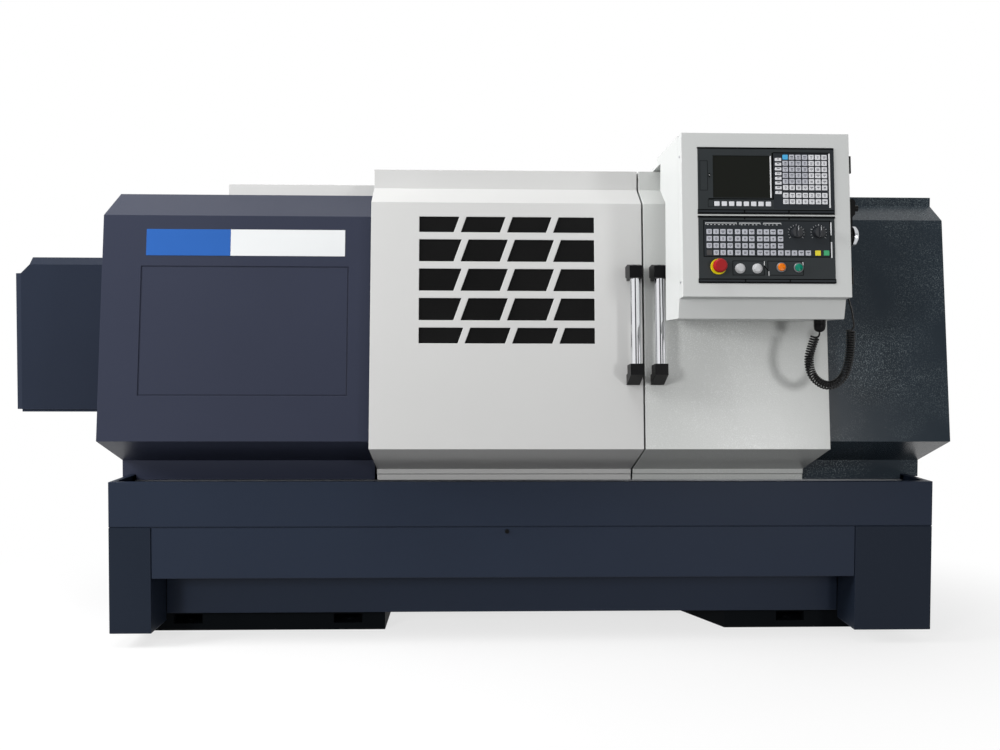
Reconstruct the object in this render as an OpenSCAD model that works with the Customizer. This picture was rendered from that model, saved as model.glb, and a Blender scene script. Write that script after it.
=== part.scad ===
// CNC turning lathe: flat bed, full enclosure, two sliding doors, control box on an overhead arm.
// Millimetres. X runs along the spindle axis, Y from front to back, Z up from the floor.

/* [Base] */
// Length of the base over its end panels
base_l = 2722; // [2680:1:2800]
// Depth of the base from front to back
base_d = 1000; // [980:1:1060]
// Height of the tray's underside over the floor
tray_z = 398; // [370:1:430]
// Height of the tray's walls
tray_h = 150; // [140:1:160]
// Depth of the tray's deck below its rim
deck_drop = 32; // [30:1:40]
// Width of the rolled rim round the tray
rim_w = 20; // [12:1:30]
// Gap between the floor and the sheet legs
leg_gap = 50; // [30:1:70]
// Width of the left leg's front
left_leg_w = 136; // [110:1:160]
// Width of the right leg's front
right_leg_w = 258; // [230:1:280]
// How far the lower skirt stands back from the legs
skirt_back = 142; // [110:1:160]
// Height of the front apron's lower edge over the floor
apron_z = 230; // [200:1:260]
// Height of the lower skirt's edge over the floor
skirt_z = 75; // [60:1:100]
// Thickness of the sheet metal
sheet_t = 3; // [2:0.5:4]
// Wall thickness of the cast pedestals
cast_t = 20; // [14:1:26]
// Thickness of the pedestals' foot flange
foot_t = 24; // [20:1:28]
// Diameter of the foundation bolt holes
foot_hole_d = 22; // [16:1:26]
// Height of the pockets over the bolt holes
pocket_h = 33; // [24:1:44]
// Width of the pockets over the bolt holes
pocket_w = 100; // [70:1:120]

/* [Enclosure] */
// Angle by which the fronts lean back
lean = 6; // [4:0.1:7]
// Height of the covers' front edge over the tray's rim
cover_lift = 136.8; // [130:0.1:150]
// Height of the covers' leaning face
cover_face = 736; // [720:1:750]
// How far the covers stand out in front of the base
cover_out = 34.2; // [30:0.1:40]
// Overhang of the left cover past the end of the base
cover_over_l = 22.4; // [10:0.1:30]
// Overhang of the right cover past the end of the base
cover_over_r = 38; // [20:0.1:50]
// Depth of the covers' riser behind the front of the base
riser_y = 176; // [174:1:182]
// Drop of the riser's top below the covers' front edge
riser_drop = 87; // [80:1:92]
// Height of the left cover's top bevel
bevel_h = 93; // [85:1:100]
// Depth of the left cover's top bevel
bevel_d = 141.8; // [130:0.1:145]
// Height of the right cover's top bevel
bevel_r_h = 60; // [50:1:66]
// Depth of the right cover's top bevel
bevel_r_d = 79; // [70:1:90]
// Depth at which the covers' back wall stands
back_y = 940; // [930:1:960]
// Length of the access panel in the left cover
panel_w = 668; // [600:1:690]
// Height of the access panel
panel_h = 418; // [380:1:430]
// Dark gap round the access panel
panel_gap = 3.5; // [2:0.5:5]
// Depth of the guard box's front behind the front of the base
guard_y = 300; // [280:1:320]
// Length of the guard box past the left cover
guard_l = 401.6; // [360:0.1:420]
// Height of the guard box
guard_h = 516; // [480:1:530]
// Height of the guard box's floor
guard_z = 766; // [750:1:780]
// Cut corner of the guard box
guard_cut = 31; // [20:1:40]
// Height of the top door rail
rail_h = 39; // [36:1:44]

/* [Doors] */
// Distance of the left door's edge from the base's left end
door_x = 857; // [845:1:870]
// Width of the left door
left_door_w = 879; // [860:1:890]
// Width of the right cover beside the right door
cover_r_w = 383; // [370:1:400]
// Gap between the doors
door_gap = 6; // [4:0.5:8]
// Height of the doors' front edge over the tray's rim
door_lift = 117.7; // [114:0.1:124]
// How far the doors stand out in front of the base
door_out = 90; // [86:1:94]
// Height of the doors' leaning face
door_face = 795.4; // [785:0.1:805]
// Height of the doors' top bevel
door_bevel_h = 59.2; // [50:0.1:66]
// Depth of the doors' top bevel
door_bevel_d = 84; // [76:1:90]
// Height of the doors' upright top strip
door_strip = 62.9; // [58:0.1:68]
// Depth of the doors' lower strip behind the front of the base
door_foot_y = 147.4; // [142:0.1:150]
// Drop of the doors' bottom bevel
door_foot_drop = 95; // [88:1:98]
// Depth of the stiffening flange at the doors' ends
flange_d = 26; // [15:1:30]
// Offset of the window field from the door's edge
win_x = 156; // [130:1:180]
// Width of the window field
win_w = 568; // [520:1:590]
// Height of the window field's foot along the face
win_y = 339; // [310:1:350]
// Height of the short window rows
win_short = 51; // [44:1:56]
// Height of the tall window rows
win_tall = 72; // [64:1:76]
// Width of the bars between the rows
win_bar = 24; // [18:1:28]
// Width of the slanted bars
slant_bar = 23; // [16:1:28]
// Sideways run of the slanted bars for each unit of height
slant = 0.36; // [0.2:0.01:0.45]
// Distance between slanted bars
slant_step = 150; // [140:1:155]
// Thickness of the window pane
pane_t = 5; // [3:0.5:8]
// Diameter of the handle tubes
grip_d = 33; // [26:1:34]
// Length of the handles over their end pieces
grip_l = 384; // [370:1:400]
// Height of the handles' lower end along the door's face
grip_y = 206; // [190:0.5:220]
// Distance of the handles from the doors' meeting edges
grip_in = 34; // [28:1:40]
// How far the handles stand off the doors
grip_off = 78; // [66:1:80]
// Width of the handles' end pieces
grip_end_w = 41; // [39:1:46]
// Height of the handles' upper end piece
grip_end_h = 50; // [46:1:60]

/* [Control box] */
// Offset of the box from the right door's edge
box_x = 51.5; // [48:0.5:60]
// Width of the box
box_w = 493.5; // [480:0.5:500]
// Height of the lid along its face
lid_h = 482; // [476:1:488]
// Depth of the lid
lid_d = 44; // [40:1:50]
// Angle by which the lid leans back
box_lean = 5.12; // [4.5:0.01:5.5]
// How far the lid's foot stands out in front of the base
box_out = 359; // [350:1:365]
// Height of the lid's foot over the tray's rim
box_lift = 589; // [588:0.5:592]
// Gap between the doors' top and the arm
arm_gap = 3.3; // [2.5:0.1:5]
// Thickness of the arm plate
arm_t = 7.5; // [6:0.5:8]
// Height of the lip below the lid
lip_h = 61; // [50:1:66]
// Width of the two panels
pan_w = 397; // [390:1:400]
// Height of the display unit
disp_h = 195; // [190:1:200]
// Height of the operator panel
oper_h = 195; // [190:1:200]
// Foot of the operator panel along the lid
oper_y = 40; // [36:1:44]
// Gap between the two panels
pan_gap = 9; // [8.5:0.5:14]
// Width of the screen
screen_w = 171; // [160:1:174]
// Height of the screen
screen_h = 124.5; // [118:0.5:128]
// Diameter of the emergency stop's head
estop_d = 40; // [34:1:44]
// Reach of the emergency stop over the lid
estop_reach = 32; // [28:1:36]
// Diameter of the push buttons
push_d = 22; // [18:0.5:23]
// Diameter of the rotary knobs
knob_d = 33; // [28:1:36]
// Reach of the rotary knobs over the lid
knob_reach = 22; // [18:1:26]
// Width of the membrane keys
key_w = 14.6; // [12:0.1:15.5]
// Height of the membrane keys
key_h = 13.4; // [11:0.1:14]

/* [Pendant] */
// Thickness of the pendant's case
pend_t = 44; // [40:1:48]
// Width of the pendant's case
pend_w = 86; // [76:1:90]
// Height of the pendant's case
pend_h = 140; // [130:1:150]
// Diameter of the pendant's dial
dial_d = 60; // [50:1:66]
// Outer diameter of the coiled cord
coil_d = 25; // [20:1:27]
// Diameter of the cord
cord_d = 5; // [4:0.5:6]

/* [Headstock and drive] */
// Height of the bed
bed_h = 463; // [455:1:475]
// Width of the bed
bed_w = 400; // [380:1:410]
// Height of the spindle axis over the ways
swing = 255; // [250:1:262]
// Depth of the spindle axis behind the front of the base
spindle_y = 450; // [445:1:460]
// Radius of the spindle in its bearings
spindle_r = 80; // [70:1:90]
// Radius of the spindle's bore
bore_r = 41; // [35:1:45]
// Length of the headstock casting
head_l = 530; // [500:1:535]
// Diameter of the chuck
chuck_d = 250; // [220:1:260]
// Length of the chuck's body
chuck_l = 100; // [85:1:110]
// Width of the chuck's jaws
jaw_w = 35; // [28:1:40]
// Radius of the spindle pulley
pulley_r = 110; // [100:1:115]
// Radius of the motor pulley
motor_pulley_r = 65; // [60:1:72]
// Radius of the main motor
motor_r = 112; // [95:1:114]
// Running clearance of shafts in their bores
fit = 0.05; // [0.02:0.01:0.09]
// Clearance between sliding faces
slide = 0.3; // [0.25:0.01:0.5]

/* [Carriage] */
// Length of the saddle along the bed
saddle_l = 380; // [340:1:390]
// Place of the saddle on the free bed, from 0 at the jaws to 1 at the tailstock's centre
saddle_place = 0.56; // [0.4:0.01:0.7]
// Width of the cross slide
cross_w = 240; // [220:1:260]
// Length of the cross slide
cross_l = 400; // [380:1:420]
// Width of the square tool turret
turret_w = 200; // [180:1:206]
// Radius of the lead screw
screw_r = 20; // [16:1:22]

/* [Tailstock] */
// Distance of the tailstock's face from the base's right end
tail_gap = 582; // [570:1:600]
// Length of the tailstock's foot
tail_l = 260; // [240:1:270]
// Radius of the quill
quill_r = 40; // [34:1:44]
// Radius of the tailstock's handwheel
wheel_r = 110; // [90:1:120]

/* [Rear cabinet] */
// Distance of the cabinet from the base's left end
cab_x = 40; // [20:1:60]
// Width of the cabinet
cab_w = 800; // [700:1:820]
// Depth of the cabinet
cab_d = 190; // [150:1:220]
// Height of the cabinet
cab_h = 840; // [780:1:860]

/* [Hidden] */
$fn = 48;
top_z = tray_z + tray_h;
deck_z = top_z - deck_drop;
tray_t = 4;
groove_h = 2.5;
groove_d = 2;
well_y0 = 230;
well_y1 = 700;
lean_t = tan(lean);
cov_z0 = top_z + cover_lift;
cov_z1 = cov_z0 + cover_face;
cov_y1 = cover_face * lean_t - cover_out;
roof_z = cov_z1 + bevel_h;
roof_y = cov_y1 + bevel_d;
cov_r_z = cov_z1 + bevel_r_h;
cov_r_y = cov_y1 + bevel_r_d;
cov_x0 = -cover_over_l;
cov_x1 = base_l + cover_over_r;
cov_l_end = door_x + 43;
right_x = door_x + left_door_w + door_gap;
right_end = base_l - cover_r_w;
right_door_w = right_end - right_x;
cov_r_start = right_end - 43;
door_z0 = top_z + door_lift;
door_z1 = door_z0 + door_face;
door_y1 = door_face * lean_t - door_out;
door_z2 = door_z1 + door_bevel_h;
door_y2 = door_y1 + door_bevel_d;
door_top = door_z2 + door_strip;
foot_z = door_z0 - door_foot_drop;
shoe_z = deck_z + 16;
shoe_y = door_foot_y + 6;
rail_y = roof_y + 11;
slot_y = rail_y + 14;
box_x0 = right_x + box_x;
box_x1 = box_x0 + box_w;
box_z0 = top_z + box_lift;
box_top = box_z0 + lid_h * cos(box_lean);
lid_back_y = lid_d * cos(box_lean) - box_out;
lid_back_z = box_z0 - lid_d * sin(box_lean);
arm_z0 = door_top + arm_gap;
arm_z1 = arm_z0 + arm_t;
arm_y0 = door_y2 - 109;
arm_y1 = slot_y + 40;
hinge_out = 11;
hinge_in = 30;
pan_x = (box_w - pan_w) / 2;
pan_lip = 4;
disp_y = oper_y + oper_h + pan_gap;
pend_x = box_x1 + slide;
pend_y = 225;
pend_z = box_z0 + 160;
dial_z = pend_z + 33;
waist_t = pend_t - 8;
dial_x = pend_x + waist_t + 14;
lip_z = box_z0 - lip_h;
way_z = tray_z + tray_t + bed_h;
spindle_z = way_z + swing;
bed_x0 = 300;
bed_x1 = base_l - 242;
bed_y0 = spindle_y - bed_w / 2;
bed_y1 = spindle_y + bed_w / 2;
head_x0 = 320;
head_x1 = head_x0 + head_l;
nose_x = head_x1 + 2;
chuck_x = nose_x + 23;
jaw_x = chuck_x + chuck_l;
tail_end = -250;
motor_y = 770;
motor_z = spindle_z - 230;
screw_y = bed_y0 - 34;
screw_z = way_z - 95;
tail_x = base_l - tail_gap;
quill_tip = tail_x - 110;
jaw_tip = jaw_x + 60;
saddle_x = jaw_tip + saddle_place * (quill_tip - jaw_tip - saddle_l);
cross_x = saddle_x + saddle_l / 2;
cross_z = way_z + 60;
turret_y = spindle_y - 120;
turret_z = cross_z + 110;
tool_z = spindle_z - 25;
cab_z = deck_z + 124;
cab_back = back_y + cab_d;
estop_y = 87.3;
front_y = -box_out + (estop_y - estop_d / 2 + 5) * sin(box_lean) - estop_reach * cos(box_lean);
rear_y = cab_back + sheet_t + 18;
mid_x = (cov_x0 - guard_l - 20 + cov_x1) / 2;
mid_y = (front_y + rear_y) / 2;

DARK = [0.20, 0.22, 0.24];
BASE = [0.15, 0.16, 0.18];
LIGHT = [0.82, 0.83, 0.84];
CAST = [0.35, 0.38, 0.40];
STEEL = [0.70, 0.71, 0.73];
BLACK = [0.06, 0.06, 0.07];

// Corner of a strip of sheet t thick whose outer face runs along the points p
function unit(v) = v / norm(v);
function inward(a, b) = let (d = unit(b - a)) [d[1], -d[0]];
function corner(p, i, t) =
    let (n = len(p),
         a = i == 0 ? inward(p[0], p[1]) : inward(p[i - 1], p[i]),
         b = i == n - 1 ? inward(p[n - 2], p[n - 1]) : inward(p[i], p[i + 1]),
         m = a + b)
    p[i] + m * (2 * t / (m * m));
function strip(p, t) = concat(p, [for (i = [len(p) - 1 : -1 : 0]) corner(p, i, t)]);

// Corner of a closed outline p, moved inward by t
function shell_corner(p, i, t) =
    let (n = len(p),
         a = inward(p[(i + n - 1) % n], p[i]),
         b = inward(p[i], p[(i + 1) % n]),
         m = a + b)
    p[i] + m * (2 * t / (m * m));

module box(a, b) translate(a) cube(b - a);
module along_x(x0, x1) translate([x0, 0, 0]) rotate([90, 0, 90]) linear_extrude(x1 - x0) children();
module folded(p, t, x0, x1) along_x(x0, x1) polygon(strip(p, t));
module rod_x(x0, x1, r, y, z) translate([x0, y, z]) rotate([0, 90, 0]) cylinder(r = r, h = x1 - x0);
module on_door() translate([0, -door_out, door_z0]) rotate([90 - lean, 0, 0]) children();
module on_cover() translate([0, -cover_out, cov_z0]) rotate([90 - lean, 0, 0]) children();
module on_lid() translate([box_x0, -box_out, box_z0]) rotate([90 - box_lean, 0, 0]) children();
module on_axis(x) translate([x, spindle_y, spindle_z]) rotate([0, 90, 0]) children();
module placed() translate([-mid_x, -mid_y, 0]) children();

// Base

ped_y0 = 190;
ped_y1 = base_d - 150;
ped_x0 = 60;
ped_x1 = 880;
end_x0 = base_l - 761;
end_cut = base_l - 642;
end_x1 = base_l - 82;
foot_y = [ped_y0 + 45, ped_y1 - 45];
left_foot_x = [ped_x0 + 134, ped_x1 - 130];
right_foot_x = [end_x1 - 325, end_x1 - 80];

module foot_cuts(xs) {
    for (x = xs) {
        for (y = foot_y) translate([x, y, -1]) cylinder(d = foot_hole_d, h = foot_t + 2);
        translate([x - pocket_w / 2, ped_y0 - 10, foot_t]) cube([pocket_w, 40, pocket_h]);
        translate([x - pocket_w / 2, ped_y1 - 30, foot_t]) cube([pocket_w, 40, pocket_h]);
    }
}

module left_pedestal() color(BASE) difference() {
    box([ped_x0, ped_y0, 0], [ped_x1, ped_y1, tray_z]);
    box([ped_x0 + cast_t, ped_y0 + cast_t, foot_t], [ped_x1 - cast_t, ped_y1 - cast_t, tray_z + 1]);
    foot_cuts(left_foot_x);
}

module right_pedestal() color(BASE) difference() {
    end_path = [[end_x0, ped_y0 + 223], [end_x0, ped_y1], [end_x1, ped_y1], [end_x1, ped_y0],
        [end_cut, ped_y0]];
    linear_extrude(tray_z) polygon(end_path);
    translate([0, 0, foot_t]) linear_extrude(tray_z) polygon([for (i = [0 : 4])
        shell_corner(end_path, i, cast_t)]);
    foot_cuts(right_foot_x);
}

module chip_tray() color(BASE) difference() {
    box([0, 0, tray_z], [base_l, base_d, top_z]);
    box([-1, -1, tray_z - 1], [base_l + 1, groove_d, tray_z + groove_h]);
    for (x = [-1, base_l - groove_d])
        box([x, -1, tray_z - 1], [x + groove_d + 1, base_d + 1, tray_z + groove_h]);
    box([tray_t, tray_t, deck_z], [base_l - tray_t, base_d - tray_t, top_z - tray_t]);
    box([rim_w, rim_w, deck_z], [base_l - rim_w, base_d - rim_w, top_z + 1]);
    box([100, well_y0, tray_z + tray_t], [base_l - 100, well_y1, deck_z + 1]);
    box([tray_t, tray_t, tray_z - 1], [base_l - tray_t, well_y0 - tray_t, deck_z - tray_t]);
    box([tray_t, well_y1 + tray_t, tray_z - 1], [base_l - tray_t, base_d - tray_t, deck_z - tray_t]);
    box([tray_t, well_y0 - tray_t - 1, tray_z - 1], [100 - tray_t, well_y1 + tray_t + 1, deck_z - tray_t]);
    box([base_l - 100 + tray_t, well_y0 - tray_t - 1, tray_z - 1],
        [base_l - tray_t, well_y1 + tray_t + 1, deck_z - tray_t]);
}

module leg_sheet(p) translate([0, 0, leg_gap]) linear_extrude(tray_z - leg_gap) polygon(strip(p, sheet_t));

function leg_path(w) = [[w, skirt_back], [w, 0], [0, 0], [0, base_d], [w, base_d], [w, base_d - skirt_back]];

module left_leg_cover() color(BASE) leg_sheet(leg_path(left_leg_w));

module right_leg_cover() color(BASE)
    translate([base_l, 0, 0]) mirror([1, 0, 0]) leg_sheet(leg_path(right_leg_w));

module front_apron() color(BASE) difference() {
    folded([[skirt_back, skirt_z], [skirt_back, apron_z], [1.5, apron_z], [1.5, tray_z]], sheet_t,
        left_leg_w + 1.5, base_l - right_leg_w - 1.5);
    translate([1301, -5, tray_z - 14]) rotate([-90, 0, 0]) cylinder(d = 9, h = 20);
}

// Bed

v_front = bed_y0 + 25;
v_rear = bed_y1 - 75;
rib_t = 24;

module vee(y, w, h, x0, x1) along_x(x0, x1)
    polygon([[y - w, way_z - 0.5], [y + w, way_z - 0.5], [y, way_z + h]]);

module screw_block(x) difference() {
    box([x, screw_y - 30, screw_z - 35], [x + 40, bed_y0 + 1, screw_z + 35]);
    rod_x(x - 1, x + 41, screw_r + fit, screw_y, screw_z);
}

module bed() color(CAST) union() {
    bed_z = tray_z + tray_t;
    box([bed_x0, bed_y0, way_z - 65], [bed_x1, bed_y0 + 95, way_z]);
    box([bed_x0, bed_y1 - 95, way_z - 65], [bed_x1, bed_y1, way_z]);
    box([bed_x0, bed_y0 + 20, bed_z + 36], [bed_x1, bed_y0 + 50, way_z - 64]);
    box([bed_x0, bed_y1 - 50, bed_z + 36], [bed_x1, bed_y1 - 20, way_z - 64]);
    box([bed_x0, bed_y0, bed_z], [ped_x1, bed_y1, bed_z + 38]);
    box([bed_x1 - 420, bed_y0, bed_z], [bed_x1, bed_y1, bed_z + 38]);
    box([bed_x0, bed_y0 + 90, way_z - 65], [860, bed_y1 - 90, way_z]);
    for (i = [0 : 8]) translate([i * (bed_x1 - bed_x0 - rib_t) / 8, 0, 0])
        box([bed_x0, bed_y0 + 45, bed_z + 36], [bed_x0 + rib_t, bed_y1 - 45, way_z - 70]);
    vee(v_front, 18, 15, 900, bed_x1);
    vee(v_rear, 15, 12, 900, bed_x1);
    screw_block(905);
    screw_block(bed_x1 - 40);
}

// Headstock, spindle and drive

module headstock() color(CAST) difference() {
    along_x(head_x0, head_x1) polygon([
        [bed_y0 + 5, way_z], [bed_y1 - 5, way_z], [bed_y1 - 5, way_z + 390], [spindle_y + 110, way_z + 460],
        [spindle_y - 110, way_z + 460], [bed_y0 + 5, way_z + 390]]);
    rod_x(head_x0 - 1, head_x1 + 1, spindle_r + fit, spindle_y, spindle_z);
}

module spindle() color(STEEL) on_axis(0) rotate_extrude($fn = 64) polygon([
    [bore_r, tail_end], [60, tail_end], [60, -110], [70, -110], [70, head_x0 - 20],
    [spindle_r + 12, head_x0 - 20],
    [spindle_r + 12, head_x0 - 2], [spindle_r, head_x0 - 2], [spindle_r, head_x1 + 1], [106, nose_x],
    [106, chuck_x], [bore_r, chuck_x]]);

module pulley(r, hole, x0, w) on_axis(0) rotate_extrude($fn = 64) polygon(concat(
    [[hole, x0], [r, x0]],
    [for (i = [0 : 4]) for (p = [[0, 8], [-12, 12], [-12, 16], [0, 20]]) [r + p[0], x0 + i * w / 5 + p[1]]],
    [[r, x0 + w], [hole, x0 + w]]));

module spindle_pulley() color(STEEL) pulley(pulley_r, 60 + fit, -230, 120);

module motor_pulley() color(STEEL) translate([0, motor_y - spindle_y, motor_z - spindle_z]) union() {
    pulley(motor_pulley_r, 19.5, -230, 120);
    on_axis(-230) cylinder(r = 20, h = 230);
}

module main_motor() color(CAST) difference() {
    union() {
        rod_x(-16, 296, motor_r, motor_y, motor_z);
        for (i = [0 : 7]) rod_x(6 + i * 36, 20 + i * 36, motor_r + 4, motor_y, motor_z);
        box([20, motor_y - 66, deck_z], [260, motor_y + 66, motor_z - motor_r * 0.7]);
        box([60, motor_y - 60, motor_z + motor_r - 16], [200, motor_y + 60, motor_z + motor_r + 50]);
    }
    rod_x(-17, 20, 20 + fit, motor_y, motor_z);
}

module belt_loop(t) hull() {
    translate([spindle_y, spindle_z]) circle(r = pulley_r + slide + t, $fn = 64);
    translate([motor_y, motor_z]) circle(r = motor_pulley_r + slide + t, $fn = 64);
}

module drive_belt() color(BLACK) along_x(-225, -115) difference() {
    belt_loop(8);
    belt_loop(0);
}

jaw_slot_x = jaw_x - 40;

module chuck() color(STEEL) difference() {
    on_axis(chuck_x) cylinder(d = chuck_d, h = chuck_l, $fn = 96);
    on_axis(chuck_x - 1) cylinder(r = bore_r - 5, h = chuck_l + 2);
    for (a = [0 : 120 : 240]) translate([0, spindle_y, spindle_z]) rotate([a, 0, 0])
        box([jaw_slot_x, -jaw_w / 2 - slide, 30], [jaw_x + 1, jaw_w / 2 + slide, chuck_d]);
}

module jaw(a) color(STEEL) translate([0, spindle_y, spindle_z]) rotate([a, 0, 0]) union() {
    box([jaw_slot_x, -jaw_w / 2, 52], [jaw_x, jaw_w / 2, chuck_d / 2 - 4]);
    box([jaw_x, -jaw_w / 2, 52], [jaw_x + 24, jaw_w / 2, chuck_d / 2 - 10]);
    box([jaw_x + 24, -jaw_w / 2, 52], [jaw_x + 44, jaw_w / 2, chuck_d / 2 - 30]);
    box([jaw_x + 44, -jaw_w / 2, 52], [jaw_x + 60, jaw_w / 2, chuck_d / 2 - 50]);
}

module chuck_jaw_1() jaw(0);
module chuck_jaw_2() jaw(120);
module chuck_jaw_3() jaw(240);

// Carriage

module saddle() color(CAST) difference() {
    union() {
        box([saddle_x, screw_y - 26, way_z + slide], [saddle_x + saddle_l, bed_y1 + 18, cross_z]);
        box([saddle_x + 60, screw_y - 26, screw_z - 65], [saddle_x + saddle_l - 60, bed_y0 - 2, way_z + 30]);
        box([cross_x - 70, bed_y1 + 3, way_z - 65], [cross_x + 70, bed_y1 + 45, cross_z]);
        box([cross_x - 60, bed_y1 + 40, way_z - 60], [cross_x + 60, bed_y1 + 210, cross_z - 5]);
        translate([0, bed_y0 - 18, cross_z - 1]) rotate([-90, 0, 0]) linear_extrude(bed_w + 36) polygon([
            [cross_x - 80, 0], [cross_x + 80, 0], [cross_x + 80, -1], [cross_x + 95, -21],
            [cross_x - 95, -21], [cross_x - 80, -1]]);
    }
    along_x(saddle_x - 1, saddle_x + saddle_l + 1) polygon([
        [v_front - 20, way_z], [v_front + 20, way_z], [v_front, way_z + 17]]);
    box([saddle_x - 1, v_rear - 22, way_z], [saddle_x + saddle_l + 1, v_rear + 22, way_z + 16]);
    rod_x(saddle_x, saddle_x + saddle_l, screw_r + fit, screw_y, screw_z);
}

module cross_slide() color(CAST) union() {
    difference() {
        box([cross_x - cross_w / 2, bed_y0, cross_z + slide],
            [cross_x + cross_w / 2, bed_y0 + cross_l, cross_z + 65]);
        translate([0, bed_y0 - 1, cross_z - 1]) rotate([-90, 0, 0]) linear_extrude(cross_l + 2) polygon([
            [cross_x - 80.5, 1], [cross_x + 80.5, 1], [cross_x + 80.5, -1], [cross_x + 95.6, -21.5],
            [cross_x - 95.6, -21.5], [cross_x - 80.5, -1]]);
    }
    translate([cross_x, turret_y, cross_z + 64]) cylinder(r = 84, h = turret_z - cross_z - 64 - slide);
}

module turret_head() color(STEEL) translate([cross_x, turret_y, 0]) union() {
    difference() {
        h = turret_w / 2;
        box([-h, -h, turret_z], [h, h, tool_z + 70]);
        for (a = [0 : 90 : 270]) rotate([0, 0, a]) box([-h - 1, h - 26, tool_z], [h + 1, h + 1, tool_z + 26]);
    }
    translate([0, 0, tool_z + 69]) cylinder(r = 58, h = 21);
    for (a = [0 : 90 : 270]) for (s = [-1 : 1]) rotate([0, 0, a])
        translate([s * 56, turret_w / 2 - 13, tool_z + 25]) cylinder(r = 7, h = 58);
}

module z_ballscrew() color(STEEL) rod_x(905, bed_x1 + 20, screw_r, screw_y, screw_z);

module z_servo_motor() color(BLACK) difference() {
    union() {
        box([bed_x1, screw_y - 60, screw_z - 60], [bed_x1 + 40, screw_y + 60, screw_z + 60]);
        box([bed_x1 + 39, screw_y - 55, screw_z - 55], [bed_x1 + 190, screw_y + 55, screw_z + 55]);
        box([bed_x1 + 130, screw_y - 30, screw_z + 54], [bed_x1 + 180, screw_y + 30, screw_z + 80]);
    }
    rod_x(bed_x1 - 1, bed_x1 + 30, screw_r + fit, screw_y, screw_z);
}

// Tailstock

barrel_end = tail_x + tail_l;

module tailstock() color(CAST) difference() {
    union() {
        box([tail_x, bed_y0 + 50, way_z + slide], [barrel_end, bed_y1 - 50, way_z + 66]);
        along_x(tail_x + 20, barrel_end - 20) polygon([
            [spindle_y - 110, way_z + 65], [spindle_y + 110, way_z + 65], [spindle_y + 64, spindle_z],
            [spindle_y - 64, spindle_z]]);
        rod_x(tail_x - 20, barrel_end, quill_r + 36, spindle_y, spindle_z);
    }
    along_x(tail_x - 1, barrel_end + 1) polygon([
        [v_rear - 17, way_z], [v_rear + 17, way_z], [v_rear, way_z + 14]]);
    rod_x(tail_x - 21, barrel_end - 20, quill_r + fit, spindle_y, spindle_z);
    rod_x(tail_x - 21, barrel_end + 1, 15 + fit, spindle_y, spindle_z);
}

module tailstock_quill() color(STEEL) on_axis(0) rotate_extrude($fn = 64) polygon([
    [0, quill_tip], [30, tail_x - 58], [30, tail_x - 40], [quill_r, tail_x - 38], [quill_r, barrel_end - 60],
    [0, barrel_end - 60]]);

module tailstock_handwheel() color(STEEL) union() {
    on_axis(barrel_end - 55) cylinder(r = 15, h = 90);
    on_axis(barrel_end + 12) cylinder(r = 26, h = 32);
    on_axis(barrel_end + 20) difference() {
        cylinder(r = wheel_r, h = 18, $fn = 64);
        translate([0, 0, -1]) cylinder(r = wheel_r - 16, h = 20, $fn = 64);
    }
    for (a = [0 : 120 : 240]) translate([0, spindle_y, spindle_z]) rotate([a, 0, 0])
        box([barrel_end + 22, -9, 20], [barrel_end + 36, 9, wheel_r - 10]);
    translate([0, 0, wheel_r - 10]) rod_x(barrel_end + 37, barrel_end + 100, 9, spindle_y, spindle_z);
}

// Enclosure

function cover_path(z2, y2, z3) = [
    [riser_y, deck_z], [riser_y, cov_z0 - riser_drop], [-cover_out, cov_z0], [cov_y1, cov_z1], [y2, z2],
    [y2, z3]];
left_path = concat(
    [[riser_y, deck_z], [riser_y, cov_z0 - riser_drop], [-cover_out, cov_z0], [cov_y1, cov_z1],
        [roof_y, roof_z]],
    [[back_y, roof_z], [back_y, deck_z]]);
right_path = concat(cover_path(cov_r_z, cov_r_y, roof_z - 3), [[back_y, roof_z - 3], [back_y, deck_z]]);

// Cover of folded sheet with one end wall, its foot cut back where it hangs past the tray
module cover_shell(p, x0, x1, wall_x) {
    folded(p, sheet_t, x0, x1);
    along_x(wall_x, wall_x + sheet_t) polygon(p);
}

cover_lap = 8;
access_x = 107.5;
access_y = 150.5;

module headstock_cover() color(DARK) difference() {
    union() {
        cover_shell(left_path, cov_x0, cov_l_end, cov_x0);
        along_x(door_x + 3, door_x + 3 + sheet_t) polygon(left_path);
    }
    box([cov_x0 - 1, -200, 0], [1, 1100, top_z - cover_lap]);
    box([-slide, -200, 0], [rim_w + 4, 1100, top_z + 0.5]);
    box([cov_x0 - 1, guard_y + 20, guard_z + 30], [cov_x0 + 10, guard_back - 20, guard_z + guard_h - 30]);
    on_axis(door_x - 10) cylinder(r = 116, h = 40);
    box([door_x - 10, bed_y0 - 80, 0], [door_x + 20, bed_y1 + 15, way_z + 5]);
    on_cover() box([access_x - panel_gap, access_y - panel_gap, -sheet_t - 5],
        [access_x + panel_w + panel_gap, access_y + panel_h + panel_gap, 5]);
}

module access_panel() color(DARK) on_cover() union() {
    box([access_x, access_y, -sheet_t - 1], [access_x + panel_w, access_y + panel_h, -1]);
    box([access_x - 14, access_y - 14, -sheet_t - 4 - fit],
        [access_x + panel_w + 14, access_y + panel_h + 14, -sheet_t - fit]);
}

module tailstock_cover() color(DARK) difference() {
    cover_shell(right_path, cov_r_start, cov_x1, cov_x1 - sheet_t);
    box([base_l - rim_w - 4, -200, 0], [base_l + slide, 1100, top_z + 0.5]);
    box([base_l - 1, -200, 0], [cov_x1 + 1, 1100, top_z - cover_lap]);
}

module rear_guard() color(DARK) folded([[roof_y, roof_z - 30], [roof_y, roof_z], [back_y, roof_z],
    [back_y, deck_z]], sheet_t, cov_l_end, cov_r_start);

guard_x = cov_x0 - guard_l;
guard_top = guard_z + guard_h;
guard_back = guard_y + 580;

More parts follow.
